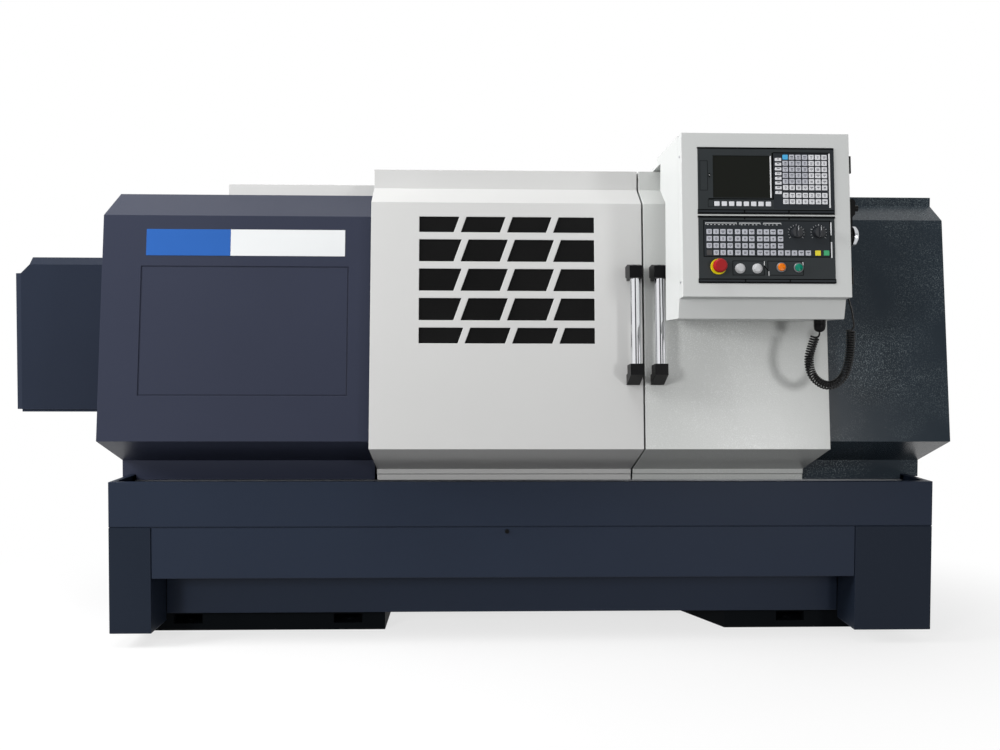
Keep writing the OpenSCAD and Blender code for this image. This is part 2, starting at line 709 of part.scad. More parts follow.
module end_guard() color(DARK) union() {
    difference() {
        translate([0, guard_back, 0]) rotate([90, 0, 0]) linear_extrude(guard_back - guard_y) polygon([
            [cov_x0, guard_z], [guard_x, guard_z], [guard_x, guard_top - guard_cut],
            [guard_x + guard_cut, guard_top], [cov_x0, guard_top]]);
        translate([0, guard_back - sheet_t, 0]) rotate([90, 0, 0])
            linear_extrude(guard_back - guard_y - 2 * sheet_t) polygon([
            [cov_x0 + 1, guard_z + sheet_t], [guard_x + sheet_t, guard_z + sheet_t],
            [guard_x + sheet_t, guard_top - guard_cut - 0.414 * sheet_t],
            [guard_x + guard_cut + 0.414 * sheet_t, guard_top - sheet_t], [cov_x0 + 1, guard_top - sheet_t]]);
    }
    along_x(guard_x + guard_cut, cov_x0) polygon([
        [guard_y, guard_top - 4], [guard_y, guard_top], [guard_y + 25, guard_top + 28],
        [guard_y + 28, guard_top + 28], [guard_y + 5, guard_top - 4]]);
    translate([0, 0, guard_z]) linear_extrude(guard_h - guard_cut) polygon([
        [guard_x + 4, guard_y], [guard_x, guard_y], [guard_x - 20, guard_y + 6],
        [guard_x - 20, guard_y + 9], [guard_x + 4, guard_y + 5]]);
    box([guard_x, guard_y, guard_z - 9], [cov_x0, guard_y + sheet_t, guard_z + 1]);
    box([guard_x, guard_y - sheet_t, guard_z], [cov_x0, guard_y + 1, guard_z + sheet_t]);
}

module top_rail() color(LIGHT) difference() {
    box([342, rail_y, roof_z], [bed_x1, rail_y + 30, roof_z + rail_h]);
    box([341, slot_y - 2.5, roof_z + 12], [bed_x1 + 1, slot_y + 2.5, roof_z + rail_h + 1]);
}

module bottom_rail() color(STEEL)
    box([rim_w + 6, shoe_y + 5, deck_z], [base_l - rim_w - 6, riser_y - 1, shoe_z - slide]);

// Doors

door_path = [
    [riser_y - 4, shoe_z], [shoe_y, shoe_z], [shoe_y, shoe_z + 19], [door_foot_y, shoe_z + 23],
    [door_foot_y, foot_z], [-door_out, door_z0], [door_y1, door_z1], [door_y2, door_z2], [door_y2, door_top],
    [door_y2 + 18, door_top]];
door_edge = [
    [door_foot_y, foot_z - 6], [door_foot_y, foot_z], [-door_out, door_z0], [door_y1, door_z1],
    [door_y2, door_z2], [door_y2, door_top]];

module door_sheet(x0, x1, hang0, hang1) {
    folded(door_path, sheet_t, x0, x1);
    folded(door_edge, flange_d, x0, x0 + sheet_t);
    folded(door_edge, flange_d, x1 - sheet_t, x1);
    folded([[door_y2 + 15, door_top], [slot_y + sheet_t / 2, door_top], [slot_y + sheet_t / 2, roof_z + 20]],
        sheet_t, hang0, hang1);
}

row_h = [win_short, win_tall, win_tall, win_tall, win_short];
function row_y(i) = i == 0 ? win_y : row_y(i - 1) + row_h[i - 1] + win_bar;
function bar_x(i, k) = door_x + win_x + (i == 0 ? 145.5 : i == 4 ? 132 : 135.5)
    + k * (slant_step + (i == 0 ? 2.8 : 0));
function edge_x(i, k, s, y) = bar_x(i, k) + s * slant_bar / 2 + slant * (y - row_y(i) - row_h[i] / 2);

module windows() for (i = [0 : 4]) {
    y0 = row_y(i);
    y1 = y0 + row_h[i];
    l = door_x + win_x;
    r = l + win_w;
    for (k = [0 : 3]) polygon([
        [k == 0 ? l : edge_x(i, k - 1, 1, y0), y0], [k == 3 ? r : edge_x(i, k, -1, y0), y0],
        [k == 3 ? r : edge_x(i, k, -1, y1), y1], [k == 0 ? l : edge_x(i, k - 1, 1, y1), y1]]);
}

module left_door() color(LIGHT) difference() {
    door_sheet(door_x, door_x + left_door_w, door_x + 343, door_x + left_door_w);
    on_door() translate([0, 0, -sheet_t - 2]) linear_extrude(sheet_t + 4) windows();
}

module left_door_glass() color(BLACK) on_door()
    box([door_x + win_x - 28, win_y - 24, -sheet_t - slide - pane_t],
        [door_x + win_x + win_w + 28, row_y(4) + win_short + 24, -sheet_t - slide]);

module right_door() color(LIGHT) door_sheet(right_x, right_end, right_x, right_x + 0.55 * right_door_w);

// Handles: reach and foot of the end pieces, and the depth at which the tube sits in them
grip_front = grip_off + 3;
grip_foot = 20;
grip_low = 62;
grip_seat = 52;
grip_top = grip_y + grip_l;
module grip_side(x, p) translate([x - grip_end_w / 2, 0, 0]) rotate([90, 0, 90])
    linear_extrude(grip_end_w) polygon(p);

module grip_tube(x) on_door() translate([x, grip_y + grip_seat, grip_off - grip_d / 2]) rotate([-90, 0, 0])
    cylinder(d = grip_d, h = grip_l - grip_seat - grip_end_h + 8);

module grip_ends(x) on_door() {
    c = grip_off - grip_d / 2;
    difference() {
        grip_side(x, [
            [grip_y, 0], [grip_y + 34, 0], [grip_y + 34, grip_foot], [grip_y + grip_low, grip_foot],
            [grip_y + grip_low, grip_front], [grip_y + 27, grip_front], [grip_y, 12]]);
        translate([x, grip_y + grip_seat, c]) rotate([-90, 0, 0]) cylinder(d = grip_d + 2 * fit, h = 20);
    }
    difference() {
        grip_side(x, [
            [grip_top - 36, 0], [grip_top, 0], [grip_top, 42], [grip_top - 11, grip_front],
            [grip_top - grip_end_h, grip_front], [grip_top - grip_end_h, grip_foot],
            [grip_top - 36, grip_foot]]);
        translate([x, grip_top - grip_end_h - 5, c]) rotate([-90, 0, 0])
            cylinder(d = grip_d + 2 * fit, h = 13);
        box([x - 6, grip_top - 12, 52], [x + 6, grip_top + 1, 72]);
    }
}

left_grip_x = door_x + left_door_w - grip_in;
right_grip_x = right_x + grip_in + 4;

module left_handle_tube() color(STEEL) grip_tube(left_grip_x);
module left_handle_ends() color(BLACK) grip_ends(left_grip_x);
module right_handle_tube() color(STEEL) grip_tube(right_grip_x);
module right_handle_ends() color(BLACK) grip_ends(right_grip_x);

// Control box

function seam_y(z) = lid_back_y + slide + (z - lid_back_z) * tan(box_lean);
box_back = -134;
box_path = [
    [-304, lip_z], [seam_y(box_z0 - 5), box_z0 - 5], [seam_y(box_top), box_top], [arm_y0 + 56, box_top],
    [arm_y0 + 56, arm_z1], [arm_y1, arm_z1], [arm_y1, roof_z], [arm_y1 - 8, roof_z], [arm_y1 - 8, arm_z0],
    [arm_y0, arm_z0], [arm_y0, door_z2 - 20], [arm_y0 - 79, door_z1 - 14], [box_back, lip_z]];

module control_box() color(LIGHT) union() {
    difference() {
        along_x(box_x0, box_x1) polygon(box_path);
        along_x(box_x0 + sheet_t, box_x1 - sheet_t) polygon([
            [-301, lip_z + sheet_t], [seam_y(box_z0 + 9) + sheet_t, box_z0 + 9], [-box_out - 60, box_z0 + 9],
            [-box_out - 60, box_top - sheet_t], [arm_y0 + 53, box_top - sheet_t], [arm_y0 + 53, arm_z1],
            [arm_y0 - sheet_t, arm_z1], [arm_y0 - sheet_t, door_z2 - 18.5], [arm_y0 - 82, door_z1 - 12.5],
            [box_back - sheet_t, lip_z + sheet_t]]);
    }
    translate([box_x1 - 44, -230, lip_z - 36]) rotate_extrude() polygon([
        [0, 0], [6, 0], [9, 10], [16.5, 18], [16.5, 36.5], [0, 36.5]]);
}

module lid_leaf_y() for (y = [42, lid_h - 108]) translate([0, y, 0]) children();

module box_lid() color(LIGHT) on_lid() difference() {
    box([0, 0, -lid_d], [box_w, lid_h, 0]);
    box([sheet_t, sheet_t, -lid_d - 1], [box_w - sheet_t, lid_h - sheet_t, -sheet_t]);
    box([pan_x - 0.5, oper_y - 0.5, -5], [pan_x + pan_w + 0.5, oper_y + oper_h + 0.5, 1]);
    box([pan_x - 0.5, disp_y - 0.5, -5], [pan_x + pan_w + 0.5, disp_y + disp_h + 0.5, 1]);
}

module lid_hinges() color(BLACK) on_lid() lid_leaf_y() union() {
    box([box_w, 0, -lid_d - 30], [box_w + 7, 50, -lid_d - slide]);
    box([box_w + 1, 0, -lid_d - 2], [box_w + 7, 50, -hinge_in]);
    translate([box_w + hinge_out, 0, -hinge_in]) rotate([-90, 0, 0]) cylinder(r = 6.5, h = 50);
}

module panel_plate(y, h) difference() {
    union() {
        box([pan_x, y, -sheet_t - 1], [pan_x + pan_w, y + h, 2]);
        box([pan_x - pan_lip, y - pan_lip, -8], [pan_x + pan_w + pan_lip, y + h + pan_lip, -sheet_t]);
        box([pan_x + 12, y + 12, -lid_d + 6], [pan_x + pan_w - 12, y + h - 12, -7]);
    }
    children();
}

screen_x = 91.5;
screen_y = disp_y + 46;

module display_unit() color(BLACK) on_lid() panel_plate(disp_y, disp_h)
    box([screen_x - 0.3, screen_y - 0.3, -1], [screen_x + screen_w + 0.3, screen_y + screen_h + 0.3, 3]);

module screen() color([0.08, 0.10, 0.14]) on_lid()
    box([screen_x, screen_y, -1], [screen_x + screen_w, screen_y + screen_h, 0.5]);

push_at = [[166.5, 82.3], [216.5, 82.3], [286.5, 86.3], [336.5, 85.3]];
knob_at = [[332.5, 187.8], [398.5, 187.8]];
push_ring = push_d / 2 + 3.2;

module operator_panel() color([0.22, 0.24, 0.26]) on_lid() union() {
    panel_plate(oper_y, oper_h) {
        for (p = push_at) translate([p[0], p[1], -3]) cylinder(d = push_d + 2 * slide, h = 6);
        for (p = knob_at) translate([p[0], p[1], -4]) cylinder(r = 5 + fit, h = 7);
        translate([103.5, estop_y, -4]) cylinder(r = 9 + slide, h = 7);
    }
    for (p = push_at) translate([p[0], p[1], 1]) difference() {
        cylinder(r = push_ring, h = 5);
        translate([0, 0, -1]) cylinder(d = push_d + 2 * slide, h = 7);
    }
}

module key(x, y) box([x - key_w / 2, y - key_h / 2, 2], [x + key_w / 2, y + key_h / 2, 3.4]);

module panel_keys() color([0.85, 0.86, 0.88]) on_lid() union() {
    for (i = [0 : 7]) key(102 + i * 21.5, disp_y + 28);
    for (i = [0 : 7]) translate([281.3, disp_y + 48 + i * 16.4, 0]) box([-6.5, -5.5, 2], [6.5, 5.5, 3.4]);
    for (i = [0 : 6]) for (j = [0 : 7]) key(304 + i * 19.1, disp_y + 35.5 + j * 18.6 + (j > 1 ? 4 : 0));
    for (j = [0 : 3]) for (x = [78, 98, 118, 138.5, 161, 182, 202, 225.5, 245, 264.5, 286])
        key(x, oper_y + 82.5 + j * 20.4);
    for (x = [309, 329.5, 350, 370.5, 398, 424]) key(x, oper_y + 82.5);
}

module knob(p) on_lid() translate([p[0], p[1], 0]) union() {
    translate([0, 0, -3]) cylinder(r = 5, h = 7);
    translate([0, 0, 2 + slide]) cylinder(d1 = knob_d, d2 = knob_d - 3, h = knob_reach - 8);
    box([-3, -knob_d / 2 + 3, knob_reach - 7], [3, knob_d / 2 - 2, knob_reach]);
}

module feed_knob() color(BLACK) knob(knob_at[0]);
module speed_knob() color(BLACK) knob(knob_at[1]);

module estop_collar() color([0.95, 0.80, 0.10]) on_lid() translate([103.5, estop_y, 2]) difference() {
    cylinder(r = estop_d / 2 + 3, h = 5);
    translate([0, 0, -1]) cylinder(r = 9 + slide, h = 7);
}

module estop_button() color([0.80, 0.05, 0.05])
    on_lid() translate([103.5, estop_y, 0]) rotate_extrude() polygon([
    [0, 3], [9, 3], [9, 14], [estop_d / 2 - 2, 14], [estop_d / 2, 17], [estop_d / 2, estop_reach - 7],
    [estop_d / 2 - 2, estop_reach - 2], [estop_d / 2 - 5, estop_reach], [0, estop_reach]]);

module push(p) on_lid() translate([p[0], p[1], 2.5]) rotate_extrude() polygon([
    [0, 0], [push_d / 2, 0], [push_d / 2, 6.5], [push_d / 2 - 2, 8], [0, 9]]);

module hold_button() color([0.75, 0.75, 0.75]) push(push_at[0]);
module start_button() color([0.75, 0.75, 0.75]) push(push_at[1]);
module amber_button() color([0.95, 0.45, 0.10]) push(push_at[2]);
module green_button() color([0.10, 0.65, 0.25]) push(push_at[3]);

// Pendant and its cord

module mpg_body() color(BLACK) difference() {
    union() {
        translate([pend_x, -pend_y + pend_w / 2, pend_z]) rotate([90, 0, 0]) linear_extrude(pend_w) polygon([
            [0, 0], [waist_t, 0], [waist_t, pend_h - 54], [pend_t, pend_h - 46], [pend_t, pend_h - 8],
            [pend_t - 6, pend_h], [0, pend_h]]);
        rod_x(pend_x + waist_t - 1, dial_x - 1, 24, -pend_y, dial_z);
        rod_x(box_x1, pend_x + 1, 20, -pend_y, pend_z + 60);
        for (y = [-20, 20]) rod_x(pend_x + pend_t - 1, pend_x + pend_t + 16, 9, y - pend_y, pend_z + 115);
    }
    rod_x(pend_x + waist_t - 20, dial_x, 6 + fit, -pend_y, dial_z);
}

module mpg_dial() color(STEEL) difference() {
    union() {
        rod_x(pend_x + waist_t - 18, dial_x + 5, 6, -pend_y, dial_z);
        translate([dial_x, -pend_y, dial_z]) rotate([0, 90, 0]) rotate_extrude() polygon([
            [0, 0], [dial_d / 2, 0], [dial_d / 2, 9], [dial_d / 2 - 4, 13], [0, 14]]);
    }
    rod_x(dial_x + 9, dial_x + 20, 6, -pend_y, dial_z + 17);
}

// Tube of n sides along points in a plane that faces the front
function course(p, i) = unit(i == 0 ? p[1] - p[0] : i == len(p) - 1 ? p[i] - p[i - 1] : p[i + 1] - p[i - 1]);
function spline(p, i, t) =
    let (a = p[max(i - 1, 0)], b = p[i], c = p[i + 1], d = p[min(i + 2, len(p) - 1)])
    b + t * (c - a) / 2 + t * t * (a - 2.5 * b + 2 * c - d / 2)
    + t * t * t * (1.5 * b - a / 2 - 1.5 * c + d / 2);
function smooth(p, k) = concat([for (i = [0 : len(p) - 2]) for (j = [0 : k - 1]) spline(p, i, j / k)],
    [p[len(p) - 1]]);

module tube(p, r, y, n) {
    m = len(p);
    polyhedron(
        points = [for (i = [0 : m - 1]) let (d = course(p, i)) for (j = [0 : n - 1])
            let (c = r * cos(360 * j / n), s = r * sin(360 * j / n))
                [p[i][0] - c * d[1], y + s, p[i][1] + c * d[0]]],
        faces = concat(
            [[for (j = [0 : n - 1]) j]],
            [for (i = [0 : m - 2]) for (j = [0 : n - 1]) let (k = (j + 1) % n) each [
                [i * n + j, (i + 1) * n + j, (i + 1) * n + k], [i * n + j, (i + 1) * n + k, i * n + k]]],
            [[for (j = [n - 1 : -1 : 0]) (m - 1) * n + j]]));
}

cord_x = box_x1 - 44;
cord_z = lip_z - 36;
coil_path = [for (q = [[0, -1], [-1, -12], [-10, -30], [-23, -50], [-31, -77], [-28, -112], [-15, -139],
    [7, -157], [32, -163], [57, -154], [77, -132], [89, -97], [95, -57], [96, -17], [96, 15]])
    [cord_x + q[0], cord_z + q[1]]];
lead_path = [for (q = [[104, 15.3], [104, 24], [101, 45], [89, 99], [79, 140], [72, 185], [69, 224]])
    [cord_x + q[0], cord_z + q[1]]];

module cord_coil() color(BLACK) tube(smooth(coil_path, 2), coil_d / 2, -pend_y - 5, 12);
module cord_lead() color(BLACK) tube(smooth(concat(lead_path, [[pend_x + 24, pend_z - 0.4]]), 3), cord_d / 2,
    -pend_y - 5, 10);

// Rear cabinet

hinge_x = cab_x + cab_w + 7;
hinge_y = cab_back + sheet_t / 2;
hinge_pin = 3;
knuckle_h = 20;
module hinge_places() for (z = [90, cab_h - 150]) translate([hinge_x, hinge_y, cab_z + z]) children();

module cabinet_hinges() hinge_places() union() {
    cylinder(r = hinge_pin, h = 3 * knuckle_h);
    box([-7, -31, 0], [-4, -8, 3 * knuckle_h]);
    for (z = [0, 2 * knuckle_h + slide]) translate([0, 0, z]) {
        cylinder(r = 2 * hinge_pin, h = knuckle_h - slide);
        box([-7, -9, 0], [-4, 0, knuckle_h - slide]);
    }
}

module electrical_cabinet() color(LIGHT) union() {
    difference() {
        box([cab_x, back_y, cab_z], [cab_x + cab_w, cab_back, cab_z + cab_h]);
        box([cab_x + sheet_t, back_y + sheet_t, cab_z + sheet_t],
            [cab_x + cab_w - sheet_t, cab_back + 1, cab_z + cab_h - sheet_t]);
    }
    cabinet_hinges();
}

module cabinet_door() color(LIGHT) difference() {
    union() {
        box([cab_x, cab_back, cab_z], [cab_x + cab_w, cab_back + sheet_t, cab_z + cab_h]);
        translate([cab_x + 60, cab_back + 1, cab_z + cab_h / 2]) rotate([-90, 0, 0]) cylinder(r = 18, h = 12);
        box([cab_x + 54, cab_back + 12, cab_z + cab_h / 2 - 60],
            [cab_x + 66, cab_back + sheet_t + 18, cab_z + cab_h / 2 + 18]);
        hinge_places() translate([0, 0, knuckle_h]) {
            cylinder(r = 2 * hinge_pin, h = knuckle_h);
            box([-9, -sheet_t / 2, 0], [-4, sheet_t / 2, knuckle_h]);
        }
    }
    hinge_places() cylinder(r = hinge_pin + fit, h = 3 * knuckle_h);
    for (i = [0 : 5]) box([cab_x + 260, cab_back - 1, cab_z + 90 + i * 26],
        [cab_x + 540, cab_back + sheet_t + 1, cab_z + 98 + i * 26]);
}

placed() left_pedestal();
placed() right_pedestal();
placed() chip_tray();
placed() left_leg_cover();
placed() right_leg_cover();
placed() front_apron();
placed() bed();
placed() headstock();
placed() headstock_cover();
placed() access_panel();
placed() end_guard();
placed() tailstock_cover();
placed() rear_guard();
placed() top_rail();
placed() bottom_rail();
placed() electrical_cabinet();
placed() cabinet_door();
placed() main_motor();
placed() motor_pulley();
placed() drive_belt();
placed() spindle();
placed() spindle_pulley();
placed() chuck();
placed() chuck_jaw_1();
placed() chuck_jaw_2();
placed() chuck_jaw_3();
placed() saddle();
placed() cross_slide();
placed() turret_head();
placed() z_ballscrew();
placed() z_servo_motor();
placed() tailstock();
placed() tailstock_quill();
placed() tailstock_handwheel();
placed() left_door();
placed() left_door_glass();
placed() left_handle_tube();
placed() left_handle_ends();
placed() right_door();
placed() right_handle_tube();
placed() right_handle_ends();
placed() control_box();
placed() box_lid();
placed() lid_hinges();
placed() display_unit();
placed() screen();
placed() operator_panel();
placed() panel_keys();
placed() feed_knob();
placed() speed_knob();
placed() estop_collar();
placed() estop_button();
placed() hold_button();
placed() start_button();
placed() amber_button();
placed() green_button();
placed() mpg_body();
placed() mpg_dial();
placed() cord_coil();
placed() cord_lead();
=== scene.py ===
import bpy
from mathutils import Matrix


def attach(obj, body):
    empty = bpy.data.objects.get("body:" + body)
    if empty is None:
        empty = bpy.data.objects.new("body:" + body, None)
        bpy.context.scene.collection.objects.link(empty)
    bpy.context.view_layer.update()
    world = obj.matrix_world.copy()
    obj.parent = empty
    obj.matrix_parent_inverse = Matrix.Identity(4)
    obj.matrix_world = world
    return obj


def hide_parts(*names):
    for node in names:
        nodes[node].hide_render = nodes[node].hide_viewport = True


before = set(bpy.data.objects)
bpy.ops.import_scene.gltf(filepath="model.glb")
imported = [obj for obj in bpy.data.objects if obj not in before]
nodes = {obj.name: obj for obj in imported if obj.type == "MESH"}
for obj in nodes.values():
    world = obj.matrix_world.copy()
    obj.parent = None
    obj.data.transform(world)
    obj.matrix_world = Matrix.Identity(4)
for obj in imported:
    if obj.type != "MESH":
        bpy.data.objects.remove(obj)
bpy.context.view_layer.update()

import bisect
import math

import bmesh
import bpy
from mathutils import Matrix, Vector

scene = bpy.context.scene
scene.view_settings.view_transform = "Standard"

# The machine's own millimetres: X from the base's left end, Y from its front, Z from the floor.
MACHINE_X = 1158.0
MACHINE_Y = 383.29
MM = 0.001


def row(x, y, z):
    return Vector(((x - MACHINE_X) * MM, (y - MACHINE_Y) * MM, z * MM))


def leaning(origin, angle):
    """Frame of a face that leans back: x along it, y up it, z out of it, in millimetres."""
    s, c = math.sin(math.radians(angle)), math.cos(math.radians(angle))
    turn = Matrix(((1, 0, 0), (0, s, -c), (0, c, s))).to_4x4()
    return Matrix.Translation(row(*origin)) @ turn @ Matrix.Scale(MM, 4)


LID = leaning((1793.5, -359, 1137), 5.12)
COVER = leaning((0, -34.2, 684.8), 6)
PLAIN = Matrix.Translation(row(0, 0, 0)) @ Matrix.Scale(MM, 4)


def facing(origin, across, up, out):
    """Frame of an upright face, from its three directions."""
    turn = Matrix((across, up, out)).transposed().to_4x4()
    return Matrix.Translation(row(*origin)) @ turn @ Matrix.Scale(MM, 4)


APRON = leaning((0, 0, 0), 0)
REAR = facing((0, 940, 0), (-1, 0, 0), (0, 0, 1), (0, 1, 0))
LID_SIDE = facing((1793.5, 0, 0), (0, -1, 0), (0, 0, 1), (-1, 0, 0))
PENDANT = facing((2323.3, -225, 1330), (0, 1, 0), (0, 0, 1), (1, 0, 0))


# Camera

CAMERA_AT = (0.0421, -3.26449, 0.981)
YAW, PITCH, ROLL = (math.radians(a) for a in (1.513, -1.610, 0.165))


def place_camera():
    forward = Vector((math.sin(YAW) * math.cos(PITCH), math.cos(YAW) * math.cos(PITCH), math.sin(PITCH)))
    right = Vector((math.cos(YAW), -math.sin(YAW), 0))
    up = right.cross(forward)
    across = math.cos(ROLL) * right + math.sin(ROLL) * up
    upright = math.cos(ROLL) * up - math.sin(ROLL) * right
    data = bpy.data.cameras.new("camera")
    data.sensor_width = 36
    data.lens = 31.63
    data.clip_end = 60
    camera = bpy.data.objects.new("camera", data)
    turn = Matrix((across, upright, -forward)).transposed().to_4x4()
    camera.matrix_world = Matrix.Translation(CAMERA_AT) @ turn
    scene.collection.objects.link(camera)
    scene.camera = camera


place_camera()


# Materials

def linear(rgb):
    return [(v / 255 / 12.92) if v <= 10 else ((v / 255 + 0.055) / 1.055) ** 2.4 for v in rgb]


class Shade:
    """A procedural material on one Principled shader."""

    def __init__(self, name, rgb, rough, metal=0.0, **sockets):
        self.mat = bpy.data.materials.new(name)
        self.mat.use_nodes = True
        self.tree = self.mat.node_tree
        self.bsdf = self.tree.nodes["Principled BSDF"]
        self.rgb = linear(rgb)
        self.rough = rough
        self.bsdf.inputs["Base Color"].default_value = (*self.rgb, 1)
        self.bsdf.inputs["Roughness"].default_value = rough
        self.bsdf.inputs["Metallic"].default_value = metal
        for key, value in sockets.items():
            self.bsdf.inputs[key.replace("_", " ")].default_value = value
        self.mat.diffuse_color = (*self.rgb, 1)

    def node(self, kind, **inputs):
        n = self.tree.nodes.new(kind)
        for key, value in inputs.items():
            n.inputs[key].default_value = value
        return n

    def link(self, a, b):
        self.tree.links.new(a, b)

    def coords(self, stretch=(1, 1, 1), shift=(0, 0, 0)):
        tex = self.node("ShaderNodeTexCoord")
        mapping = self.node("ShaderNodeMapping")
        mapping.inputs["Scale"].default_value = stretch
        mapping.inputs["Location"].default_value = shift
        self.link(tex.outputs["Object"], mapping.inputs["Vector"])
        return mapping.outputs["Vector"]

    def noise(self, scale, detail=3.0, stretch=(1, 1, 1), shift=(0, 0, 0)):
        n = self.node("ShaderNodeTexNoise", Scale=scale, Detail=detail)
        self.link(self.coords(stretch, shift), n.inputs["Vector"])
        return n.outputs["Fac"]

    def ramp(self, fac, low, high, start=0.3, end=0.7):
        r = self.node("ShaderNodeValToRGB")
        r.color_ramp.elements[0].position = start
        r.color_ramp.elements[1].position = end
        r.color_ramp.elements[0].color = (*low, 1)
        r.color_ramp.elements[1].color = (*high, 1)
        self.link(fac, r.inputs["Fac"])
        return r.outputs["Color"]

    def mottle(self, scale, depth, detail=4.0):
        """Slow change of colour over the surface."""
        fac = self.noise(scale, detail)
        low = [v * (1 - depth) for v in self.rgb]
        high = [min(1, v * (1 + depth)) for v in self.rgb]
        self.link(self.ramp(fac, low, high), self.bsdf.inputs["Base Color"])
        return self

    def painted_glints(self, rgb, scale, start, end):
        """Painted glints: lighter dots in the base colour stand in for the glints of the pebbled paint,
        denser in some places.
        """
        dots = self.ramp(self.noise(scale, 0.0), (0, 0, 0), (1, 1, 1), 0.54, 0.72)
        patches = self.noise(3.4, 2.0, shift=(0.13, 0, 0.04))
        cluster = self.ramp(patches, (0, 0, 0), (1, 1, 1), start, end)
        both = self.node("ShaderNodeMath")
        both.operation = "MULTIPLY"
        self.link(dots, both.inputs[0])
        self.link(cluster, both.inputs[1])
        mix = self.node("ShaderNodeMix")
        mix.data_type = "RGBA"
        mix.inputs["B"].default_value = (*linear(rgb), 1)
        plain = self.bsdf.inputs["Base Color"].links[0].from_socket
        self.link(plain, mix.inputs["A"])
        self.link(both.outputs[0], mix.inputs["Factor"])
        self.link(mix.outputs["Result"], self.bsdf.inputs["Base Color"])
        return self

    def patchy(self, scale, depth):
        """Slow change of gloss over the surface."""
        fac = self.noise(scale, 3.0)
        m = self.node("ShaderNodeMapRange")
        m.inputs["To Min"].default_value = max(0.02, self.rough - depth)
        m.inputs["To Max"].default_value = min(1, self.rough + depth)
        self.link(fac, m.inputs["Value"])
        self.link(m.outputs["Result"], self.bsdf.inputs["Roughness"])
        return self

    def grain(self, scale, strength, height=0.0004, detail=2.0, stretch=(1, 1, 1)):
        """Fine relief."""
        fac = self.noise(scale, detail, stretch)
        b = self.node("ShaderNodeBump", Strength=strength, Distance=height)
        self.link(fac, b.inputs["Height"])
        self.link(b.outputs["Normal"], self.bsdf.inputs["Normal"])
        return self


def powder(name, rgb, rough=0.5, scale=330, strength=0.35, mottle=0.05, level=0.22):
    """Stove-enamelled sheet with the fine pebble of powder paint."""
    s = Shade(name, rgb, rough, Specular_IOR_Level=level)
    return s.mottle(1.7, mottle).patchy(6, 0.05).grain(scale, strength, 0.0006)


DARK_PAINT = powder("cover_paint", (47, 51, 66), 0.42, 330, 0.30, 0.05, 0.18)
GUARD_PAINT = powder("guard_paint", (34, 40, 53), 0.42, 330, 0.30, 0.05, 0.12)
SPARKLE_PAINT = powder("cover_paint_pebbled", (44, 53, 61), 0.26, 300, 0.60, 0.06, 0.20)
# Painted glints on the pebbled cover paint: lighter dots in its base colour.
SPARKLE_PAINT.painted_glints((110, 120, 124), 340, 0.42, 0.68)
BASE_PAINT = powder("base_paint", (36, 44, 59), 0.42, 330, 0.25, 0.05, 0.15)
# Leg covers: the base paint made darker, as painted shade for the lower parts that get less light.
BASE_PAINT_SHADED = powder("base_paint_painted_shade", (29, 36, 48), 0.42, 330, 0.25, 0.05, 0.12)
# Pedestals: near-black, partly their own dark paint and partly painted shade of the place under the base
# where they stand.
FOOT_PAINT_AND_SHADE = powder("casting_paint_and_shade", (13, 16, 19), 0.62, 120, 0.5, 0.08, 0.04)
DOOR_PAINT = powder("door_paint", (203, 203, 202), 0.45, 330, 0.18, 0.02, 0.25)
DOOR_PEBBLE = powder("door_paint_pebbled", (200, 202, 200), 0.24, 300, 0.60, 0.02, 0.30)
# Painted glints on the pebbled door paint: lighter dots in its base colour.
DOOR_PEBBLE.painted_glints((220, 222, 221), 340, 0.36, 0.66)
BOX_PAINT = powder("box_paint", (204, 206, 205), 0.45, 330, 0.15, 0.02, 0.25)
CAST = Shade("cast_iron_paint", (108, 116, 122), 0.55).mottle(3, 0.08).grain(140, 0.5, 0.0008)
WAYS = Shade("ground_iron", (150, 152, 155), 0.32, 0.9)
WAYS.mottle(9, 0.10).grain(600, 0.25, 0.0002, 2, (0.05, 1, 1))
STEEL = Shade("turned_steel", (196, 198, 202), 0.28, 1.0)
STEEL.mottle(14, 0.06).grain(900, 0.18, 0.0002, 2, (1, 0.08, 0.08))
GROUND = Shade("ground_steel", (182, 184, 188), 0.34, 1.0)
GROUND.mottle(12, 0.08).grain(700, 0.2, 0.0002, 2, (0.08, 1, 1))
CHROME = Shade("chrome", (226, 227, 230), 0.06, 1.0).mottle(20, 0.02)
BLACK = Shade("black_plastic", (12, 12, 14), 0.36, Specular_IOR_Level=0.10)
BLACK.mottle(25, 0.12).grain(900, 0.25, 0.0003)
KNOB = Shade("knob_plastic", (40, 42, 46), 0.32, Specular_IOR_Level=0.4)
KNOB.mottle(30, 0.10).grain(900, 0.2, 0.0003)
RUBBER = Shade("black_rubber", (7, 7, 8), 0.22, Specular_IOR_Level=0.28)
RUBBER.mottle(60, 0.15).grain(800, 0.2, 0.0002)
PANEL = Shade("panel_film", (45, 49, 51), 0.46, Specular_IOR_Level=0.15)
PANEL.mottle(12, 0.05).grain(1500, 0.2, 0.0002)
INSET = Shade("panel_inset", (37, 41, 45), 0.42, Specular_IOR_Level=0.15)
INSET.mottle(14, 0.06).grain(1500, 0.2, 0.0002)
RIM = Shade("panel_rim", (5, 6, 6), 0.50, Specular_IOR_Level=0.03).mottle(20, 0.15).patchy(30, 0.08)
